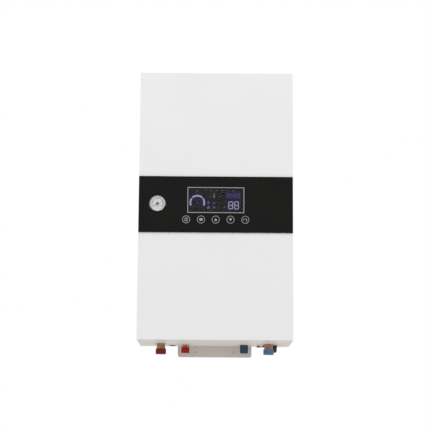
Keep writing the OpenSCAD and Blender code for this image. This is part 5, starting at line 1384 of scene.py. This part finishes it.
def make_relief():
    shape = Shape()
    shape.hexagon(DRAIN + UP * 150.5, UP, 7.5, 14.6, "brass", 12.5)
    shape.hexagon(DRAIN + UP * 124, UP, 9, 12.4, "brass", 7.8)
    shape.tube(DRAIN + UP * 180, DRAIN + UP * 189.6, 13.7, 12.8, "brass", 48, 0.8)
    shape.bead(DRAIN + UP * 176, UP, 13, 0.6, "brass", 48)
    shape.tube(DRAIN + UP * 189.6, DRAIN + UP * 190.6, 11.8, 3.4, "screw_zinc", 40)
    from_pipe = vec(DIVERTER.x, DIVERTER.y, 0)
    way = (DRAIN - from_pipe).normalized()
    shape.hexagon(from_pipe + UP * 170 + way * 12.5, way, 8.5, 11.4, "brass", 7.8)
    shape.done("relief_fittings", slot="brass")

    low, high = box_of("relief_knob")
    foot, r, sides = DRAIN + UP * 191, 17, 96
    tall = high.z - foot.z
    knob = Shape()
    rings = []
    for along, share in ((0, 0.88), (1.2, 0.97), (2.2, 1), (tall - 4, 0.97), (tall - 1.4, 0.93),
                         (tall - 0.4, 0.86), (tall, 0.74), (tall - 0.8, 0.5), (tall - 0.8, 0.3)):
        turns = [2 * math.pi * i / sides for i in range(sides)]
        grip = 0.15 if share > 0.7 else 0
        rings.append([foot + UP * along + r * share * (1 - grip * max(0, math.cos(6 * a)) ** 3)
                      * spoke(RIGHT, BACK, a) for a in turns])
    knob.skin(rings, "button_red")
    knob.rod((DRAIN.x, DRAIN.y, low.z), foot + UP * 0.4, 3, "screw_zinc")
    knob.screw_head(foot + UP * (tall - 0.9), UP, 3.2, 1.4)
    knob.done("relief_handle", "relief_knob")


def make_sensor():
    at = vec(88, -55, 38.2)
    face = vec(at.x, box_of("flow_sensor")[0].y, at.z + 18)
    shape = Shape(face.y - 1.7, face.y - 1.3)
    for up in (0, 28.5):
        shape.hexagon(at + UP * up, UP, 7.5, 17.6, "module_dark", 14.6)
    for up in (9.5, 26.5):
        shape.bead(at + UP * up, UP, 15.1, 0.7, "module_dark", 44)
    shape.moulded(face + vec(-8.5, -1.4, -10.5), face + vec(8.5, 5, 10.5), 2, "module_dark")
    for side in BOTH:
        shape.screw_head(face + vec(0, -1.4, side * 7.8), FRONT, 1.7, 0.8)
    shape.plate(rotated([(-3.5, -3), (3.5, -3), (0, 3.5)], face.x, face.z, 0), "module_grey")
    shape.done("sensor_fittings", slot="module_dark")


# Copper pipes with soldered elbows: points, radius, and whether the first and the last end are soldered

PIPES = (
    ("heating_pipework", "heating_pipes", (
        ([(-190.5, -95, 631), (-211.8, -95, 631), (-211.8, -95, 190), (-160, -95, 190), (-160, -95, 137)],
         9, True, True),
        ([(-160, -95, 53), (-160, -95, 19.2)], 9, True, True),
        ([(160, -95, 19.2), (160, -95, 45), (-20, -95, 45), (-20, -95, 133)], 9, True, True),
        ([(111, -95, 89), (85, -95, 89), (85, -95, 45)], 9, True, False),
        ([(-20, -95, 247), (-20, -95, 268), (-139.5, -95, 268), (-139.5, -95, 300)], 9, True, True),
    )),
    ("exchanger_pipework", "exchanger_pipe", (
        ([(-132, -95, 95), (-110, -95, 95), (-110, -140, 95), (55, -140, 95), (55, -140, 243),
          (55, -95, 243), (111, -95, 243)], 9, True, True),
    )),
    ("water_pipework", "water_pipes", (
        ([(111, -55, 243), (-88, -55, 243), (-88, -55, 19.2)], 7.5, True, True),
        ([(88, -55, 19.2), (88, -55, 46.2)], 7.5, True, False),
        ([(88, -55, 66.2), (88, -55, 89), (111, -55, 89)], 7.5, False, True),
        ([(-127, -33, 132), (-127, -33, 2.6)], 7.5, True, False),
    )),
    ("vessel_pipework", "vessel_pipe", (
        ([VESSEL_PORT, (VESSEL.x, -56, 300), (-60, -56, 300), (-60, -95, 300), (-60, -95, 277)],
         6, True, False),
    )),
)


def pipe_run(shape, points, r, first, last):
    """A copper pipe with an elbow at each turn."""
    points = [Vector(p) for p in points]
    shape.sweep(rounded_path(points, 1.5 * r), r, "copper", 28)
    for before, corner, after in zip(points, points[1:], points[2:]):
        a, b = (before - corner).normalized(), (after - corner).normalized()
        reach = min(1.9 * r, 0.48 * (before - corner).length, 0.48 * (after - corner).length)
        sleeve = rounded_path([corner + a * reach, corner, corner + b * reach], min(1.5 * r, reach * 0.99))
        shape.sweep(sleeve, r + 0.9, "copper", 28)
        for way in (a, b):
            shape.bead(corner + way * reach, way, r + 0.3, 0.8, "solder", 28)
    for wanted, place, ahead in ((first, points[0], points[1]), (last, points[-1], points[-2])):
        if wanted:
            way = (ahead - place).normalized()
            shape.bead(place + way * 8, way, r + 0.4, 0.9, "solder", 28)


def make_pipes():
    for name, node, runs in PIPES:
        shape = Shape()
        for run in runs:
            pipe_run(shape, *run)
        if node == "heating_pipes":
            tee, branch = vec(85, -95, 45), vec(-60, -95, 268)
            shape.tube(tee + LEFT * 18, tee + RIGHT * 18, 10.1, 8.9, "copper", 28)
            shape.tube(tee, tee + UP * 18, 10.1, 8.9, "copper", 28)
            for way in (LEFT, RIGHT, UP):
                shape.bead(tee + way * 18, way, 9.3, 0.8, "solder", 28)
            shape.tube(branch + LEFT * 15, branch + RIGHT * 15, 10.1, 8.9, "copper", 28)
            shape.tube(branch, branch + UP * 15, 7.1, 5.9, "copper", 28)
        shape.done(name, node)
    fine = Shape()
    fine.sweep(rounded_path([(-170, -227.5, 372.5), (-170, -227.5, 190), (-170, -104.6, 190)], 12, 10), 1.5,
               "copper", 16)
    fine.done("capillary_tube", "gauge_capillary")


make_pump()
make_diverter()
make_exchanger()
make_relief()
make_sensor()
make_pipes()


# Boards and the parts on the electrical panel

def make_control_board():
    low, high = box_of("control_board")
    face, back = high.y - 1.6, high.y
    shape = Shape()
    shape.box((low.x, face, low.z), high, "board_green", 0.2)
    pad, turns, around = 1.6, 6, 16
    steps = turns * around
    reach = face - low.y - pad - 0.6
    for x in (-86, -43, 0, 43, 86):
        key = vec(x, face, 349)
        shape.lathe(key, FRONT, [(0, 0), (0, 6.6), (1.2, 6.9), (pad, 5.8), (pad, 0)], "plastic_white", 28)
        spring = [key + FRONT * (pad + reach * k / steps) + 5.2 * spoke(RIGHT, UP, 2 * math.pi * k / around)
                  for k in range(steps + 1)]
        shape.sweep(spring, 0.3, "contact_tin", 6)
        shape.lathe((x, low.y + 0.6, key.z), FRONT, [(0, 0), (0, 6.4), (0.4, 6.6), (0.6, 6.2), (0.6, 0)],
                    "contact_tin", 28)
    for x, z, half_x, half_z in ((-22, 357, 6, 4), (30, 355, 4, 4), (64, 358, 3, 2)):
        shape.box((x - half_x, face - 1.2, z - half_z), (x + half_x, face, z + half_z), "chip_black", 0.2)
    for x in (-70, 12, 74):
        shape.box((x - 9, back, 426.5), (x + 9, back + 5.5, 433.5), "plastic_white", 0.5)
    shape.box((-17, back, 380), (5, back + 1.6, 402), "chip_black", 0.2)
    for x in range(-60, 61, 15):
        shape.box((x - 1.6, back, 362), (x + 1.6, back + 0.8, 364), "ceramic", 0.1)
    shape.done("control_board_parts", "control_board")


def make_power_board():
    back, face = -129.2, -130.8
    shape = Shape()
    shape.box((-50, face, 502), (140, back, 606), "board_green", 0.2)
    for x in (-38, 128):
        for z in (514, 594):
            shape.hexagon((x, back, z), BACK, 8, 4, "screw_zinc")
            shape.screw_head((x, face, z), FRONT, 3, 1.8)
    for x in (-38, -4, 30):
        shape.box((x, -156.8, 514), (x + 26, face + 0.2, 542), "relay_blue", 0.8)
        shape.box((x + 2, -157.1, 516), (x + 24, -156.6, 540), "relay_blue", 0.3)
    shape.box((68, -135.8, 514), (128, face, 584), "aluminium", 0.4)
    for k in range(7):
        x = 68 + 9.6 * k
        shape.box((x, -164.8, 514), (x + 2.4, -135.4, 584), "aluminium", 0.5)
    for foot in (vec(-30, face, 570), vec(-14, face, 572)):
        shape.lathe(foot, FRONT, [(0, 0), (0, 6), (1.2, 6.3), (1.8, 5.8), (2.4, 6.3), (17.2, 6.3), (18, 5.7),
                                  (18, 0)], "plastic_blue", 32)
        shape.rod(foot + FRONT * 17.9, foot + FRONT * 18.2, 5, "aluminium")
    shape.box((4, -153, 556), (40, -130.9, 590), "laminations", 0.6)
    shape.box((10, -156, 562), (34, -130.9, 584), "cable_yellow", 2)
    for x, count in ((-38, 5), (-6, 6), (28, 4)):
        plug, pitch = vec(x, -141.5, 592), 5
        shape.box(plug, plug + vec(count * pitch + 1, 10.7, 9.2), "module_green", 0.6)
        for k in range(count):
            hole = plug + vec(3 + pitch * k, -0.1, 4.6)
            shape.rod(hole, hole + FRONT * 0.6, 1.6, "screw_zinc", 16)
    shape.box((46, -132.4, 566), (58, -130.7, 578), "chip_black", 0.2)
    for x in (45.2, 58.8):
        for k in range(6):
            shape.block((x, -131, 567.4 + 1.9 * k), (0.9, 0.4, 0.3), "contact_tin")
    shape.box((66, -133.6, 592), (84, -130.7, 597), "ceramic", 1)
    shape.box((92, -139, 592), (112, -130.7, 601), "chip_black", 0.6)
    for x in (-30, -22, -14, -6, 50, 58, 66, 74):
        shape.block((x, -131, 551), (1.4, 0.3, 0.8), "chip_black")
    shape.done("power_board_parts", "power_board")


def make_panel():
    face, back = -121.2, -120
    shape = Shape()
    shape.box((-62, face, 488), (213, back, 776), "zinc_steel", 0.4)
    for x in (-53, 204):
        for z in (497, 767):
            shape.hexagon((x, back, z), BACK, 106, 6, "screw_zinc")
            shape.screw_head((x, face, z), FRONT, 4.2, 2.4)
    rail = [(face, 696.5), (-126.2, 696.5), (-126.2, 698.3), (-122.4, 698.3), (-122.4, 729.7),
            (-126.2, 729.7), (-126.2, 731.5), (face, 731.5)]
    shape.skin([[(x, y, z) for y, z in rail] for x in (-56, 207)], "screw_zinc")
    # The rail's slots are thin black plates that paint the shade of openings
    for k in range(10):
        x = -42 + 26 * k
        shape.moulded((x - 6.5, -122.6, 711), (x + 6.5, -122.3, 717), 2.9, "needle_black", "Y", 0.05)
    stud = vec(190, face, 640)
    shape.thread(stud, FRONT, 14, 2.1, 2.5, 0.8, "screw_zinc", 20)
    for out in (0, 6.2):
        shape.hexagon(stud + FRONT * out, FRONT, 4, 4.6, "brass", 2.1)
    shape.lathe(stud + FRONT * 4.5, FRONT, [(0, 2.6), (0, 5.5), (1.2, 5.5), (1.2, 2.6)], "contact_tin", 28,
                True)
    shape.done("panel_and_rail", "electrical_panel")


def module_well(shape, at, radius, material):
    """A clamp screw at the bottom of its well. The well is a short ring, and a black disc under the screw
    head paints its shade.
    """
    shape.tube(at + BACK * 0.6, at + FRONT * 0.3, radius + 0.8, radius, material, 24, 0.2)
    shape.rod(at + BACK * 0.2, at + FRONT * 0.05, radius, "needle_black", 20)
    shape.screw_head(at, FRONT, radius * 0.8, 0.2, False)


def make_breaker():
    low, high = vec(-56, -186.2, 671), vec(-20, -126.2, 757)
    at = vec(-38, low.y, 714)
    body, cutter, trims, toggle = Shape(), Shape(), Shape(low.y - 0.2, low.y + 0.2), Shape()
    body.moulded(low + BACK * 16, high, 1.2, "plastic_white", "X")
    body.moulded(at + vec(-18, 0, -22.5), at + vec(18, 20, 22.5), 1.2, "plastic_white", "X")
    cutter.rod(at + LEFT * 4.8, at + RIGHT * 4.8, 6.6, "plastic_white", 40)
    piece("breaker_case", carved(body, cutter), ["plastic_white"], "breaker")
    for side, up in CORNERS:
        module_well(trims, at + vec(side * 9, 16, up * 33.5), 3, "plastic_white")
        # black patches on the top and bottom faces paint the shade inside the wire entries
        wire = at + vec(side * 9, 30, up * 43.1)
        trims.box(wire - vec(4, 5, 0.3), wire + vec(4, 5, 0.1), "needle_black")
    for y, start, end in ((0, -22.5, -12), (0, 12, 22.5), (16, 22.5, 43), (16, -43, -22.5)):
        trims.box(at + vec(-0.2, y - 0.1, start), at + vec(0.2, y + 0.5, end), "module_grey")
    trims.plate(strip(at.x + 8.5, at.z + 13.5, at.x + 14.5, at.z + 17.5), "cable_green")
    trims.done("breaker_trim", slot="plastic_white")
    toggle.lathe(at + LEFT * 4.5, RIGHT, [(0, 0), (0, 5.6), (0.4, 6), (8.6, 6), (9, 5.6), (9, 0)],
                 "module_dark", 40)
    turn = turned("X", -30)
    toggle.block(at + turn @ FRONT * 11.8, (4.4, 5.2, 2.4), "module_dark", 0.9, turn, 3)
    toggle.done("toggle_lever", "breaker_toggle")


def make_contactor():
    low, high = vec(17, -194.2, 671), vec(63, -126.2, 757)
    at = vec(40, low.y, 714)
    body, cutter, trims, plunger = Shape(), Shape(), Shape(), Shape()
    body.moulded(low + BACK * 12, high, 2, "module_dark", "Y", 0.6)
    body.moulded(at + vec(-21.5, 0, -26), at + vec(21.5, 14, 26), 2, "module_dark", "Y", 0.8)
    cutter.rod(at + FRONT, at + BACK * 22, 6.2, "module_dark", 40)
    piece("contactor_case", carved(body, cutter), ["module_dark"], "contactor")
    for up in BOTH:
        for k in range(4):
            place = vec(low.x + 6.2 + k * 11.2, at.y + 12, at.z + up * 34.5)
            trims.box(place - vec(4.4, 0.6, 5.2), place + vec(4.4, 0.3, 5.2), "module_grey", 0.4)
            trims.screw_head(place + FRONT * 0.6, FRONT, 3.3, 0.8)
        # black strips paint the shade inside the vent slots
        for k in range(5):
            slot = at + vec(0, -0.05, up * (12.5 + k * 2.6))
            trims.box(slot - vec(14.5, 0.1, 0.5), slot + vec(14.5, 0.3, 0.5), "needle_black")
    trims.tube(at + FRONT * 0.8, at + BACK * 0.4, 8.8, 6.6, "module_grey", 40)
    trims.done("contactor_trim", slot="module_dark")
    low, high = box_of("contactor_plunger")
    length = high.y - low.y
    plunger.lathe((at.x, low.y, at.z), BACK, [(0.2, 0), (0.2, 4), (0, 4.4), (0, 5.4), (0.6, 6), (length, 6),
                                              (length, 0)], "plastic_white", 40)
    plunger.done("plunger_button", "contactor_plunger")


def make_terminals():
    low, high = vec(102, -166.2, 692), vec(158, -126.2, 736)
    wide, z = 11.2, 714
    shape = Shape()
    shape.box(low, high, "module_grey", 0.8)
    for k, colour in enumerate(("plastic_blue", "module_grey", "module_grey", "module_grey", "cable_green")):
        wall = low.x + k * wide
        at = vec(wall + wide / 2, low.y, z)
        # black lines paint the shade in the gaps between the poles
        if k:
            shape.box((wall - 0.6, low.y - 0.05, low.z + 1), (wall + 0.6, low.y + 1, high.z - 1),
                      "needle_black")
        shape.block(at, (4.6, 0.4, 3.5), colour, 0.2)
        for up in BOTH:
            module_well(shape, at + UP * up * 13.5, 3.3, "module_grey")
            # black patches paint the shade inside the wire entries
            shape.block(at + vec(0, 14, up * 22), (3.6, 4.2, 0.1), "needle_black")
    shape.done("terminal_poles", "terminal_block")


# Wires: points, colours, spread and radius of the wires, radius of the bends, radius and distance of the
# ties, and radius of the end sleeves

BUNDLES = (
    ([(40, -160.2, 757.3), (40, -160.2, 768), (-139.5, -160.2, 768), (-139.5, -106, 768),
      (-139.5, -106, 689.6)],
     ("brown", "blue", "black", "red"), 2.7, 2.1, 14, 4.9, 62, 4.6),
    ([(0, -133.8, 514), (0, -133.8, 476), (0, -218.2, 476), (0, -218.2, 457)],
     ("white", "red", "black", "yellow", "blue"), 1.75, 0.95, 10, 2.8, 50, 2.9),
    ([(-73, -175, 226), (-73, -175, 476), (-38, -175, 476), (-38, -133.8, 476), (-38, -133.8, 512)],
     ("brown", "blue", "green"), 1.4, 1.3, 12, 2.9, 60, 2.8),
    ([(-128, -175, 95), (-73, -175, 95), (-73, -175, 153.5)],
     ("white", "brown", "black"), 1.4, 1.3, 12, 2.9, 50, None),
)
WIRE_STEP, WIRE_TWIST = 12, 0.014


def make_harness():
    shape = Shape()
    for points, colours, spread, wire_r, bend, r, gap, sleeve in BUNDLES:
        path = rounded_path(points, bend)
        fine = [path[0]]
        for a, b in zip(path, path[1:]):
            count = max(1, int((b - a).length / WIRE_STEP))
            fine += [a.lerp(b, (k + 1) / count) for k in range(count)]
        frames = frames_along(fine)
        runs = [0.0]
        for a, b in zip(fine, fine[1:]):
            runs.append(runs[-1] + (b - a).length)
        for k, colour in enumerate(colours):
            start = 2 * math.pi * k / len(colours)
            shape.sweep([point + spread * spoke(u, v, start + WIRE_TWIST * run)
                         for (point, u, v), run in zip(frames, runs)], wire_r, "cable_" + colour, 10)
        last = 0
        for (point, u, v), run in zip(frames, runs):
            if run - last < gap or run < gap * 0.4:
                continue
            last = run
            way = u.cross(v)
            shape.lathe(point - way * 1.3, way, [(0, r), (0.2, r + 0.7), (2.4, r + 0.7), (2.6, r)],
                        "plastic_white", 24, True)
            shape.block(point + u * (r + 1.1), (1.5, 1.5, 1.5), "plastic_white", 0.3)
        if sleeve:
            for point, u, v in (frames[0], frames[-1]):
                way = u.cross(v)
                shape.lathe(point - way * 3.5, way, [(0, 0), (0, sleeve), (0.5, sleeve + 0.4),
                                                     (6.5, sleeve + 0.4), (7, sleeve), (7, 0)],
                            "cable_black", 28)
    shape.done("wire_bundles", "wiring_harness")


make_control_board()
make_power_board()
make_panel()
make_breaker()
make_contactor()
make_terminals()
make_harness()


# Nodes shown in their own form with rounded edges: piece, node, width and a material other than its slot

for values in (
    ("cover_sheet", "front_cover", 0.7),
    ("side_sheets", "side_panels", 0.4),
    ("top_sheet", "top_panel", 0.4),
    # The base panel's base_white has the underside's shade painted in
    ("base_sheet", "base_panel", 0.3, "base_white"),
    ("lower_plate", "lower_bracket", 0.5, "plate_white"),
    ("back_tray", "back_plate", 0.3),
    ("hanging_bracket", "wall_bracket", 0.4),
    ("bracket_sheets", "equipment_brackets", 0.4),
    ("control_shell", "control_housing", 0.8),
    ("foam_jacket", "tank_jacket", 0.8),
    ("relief_body", "relief_valve", 0.7),
    ("sensor_body", "flow_sensor", 0.6),
    ("diverter_casting", "diverter_body", 0.8),
    ("thermostat_body", "limit_thermostat", 0.5),
):
    softened(*values)
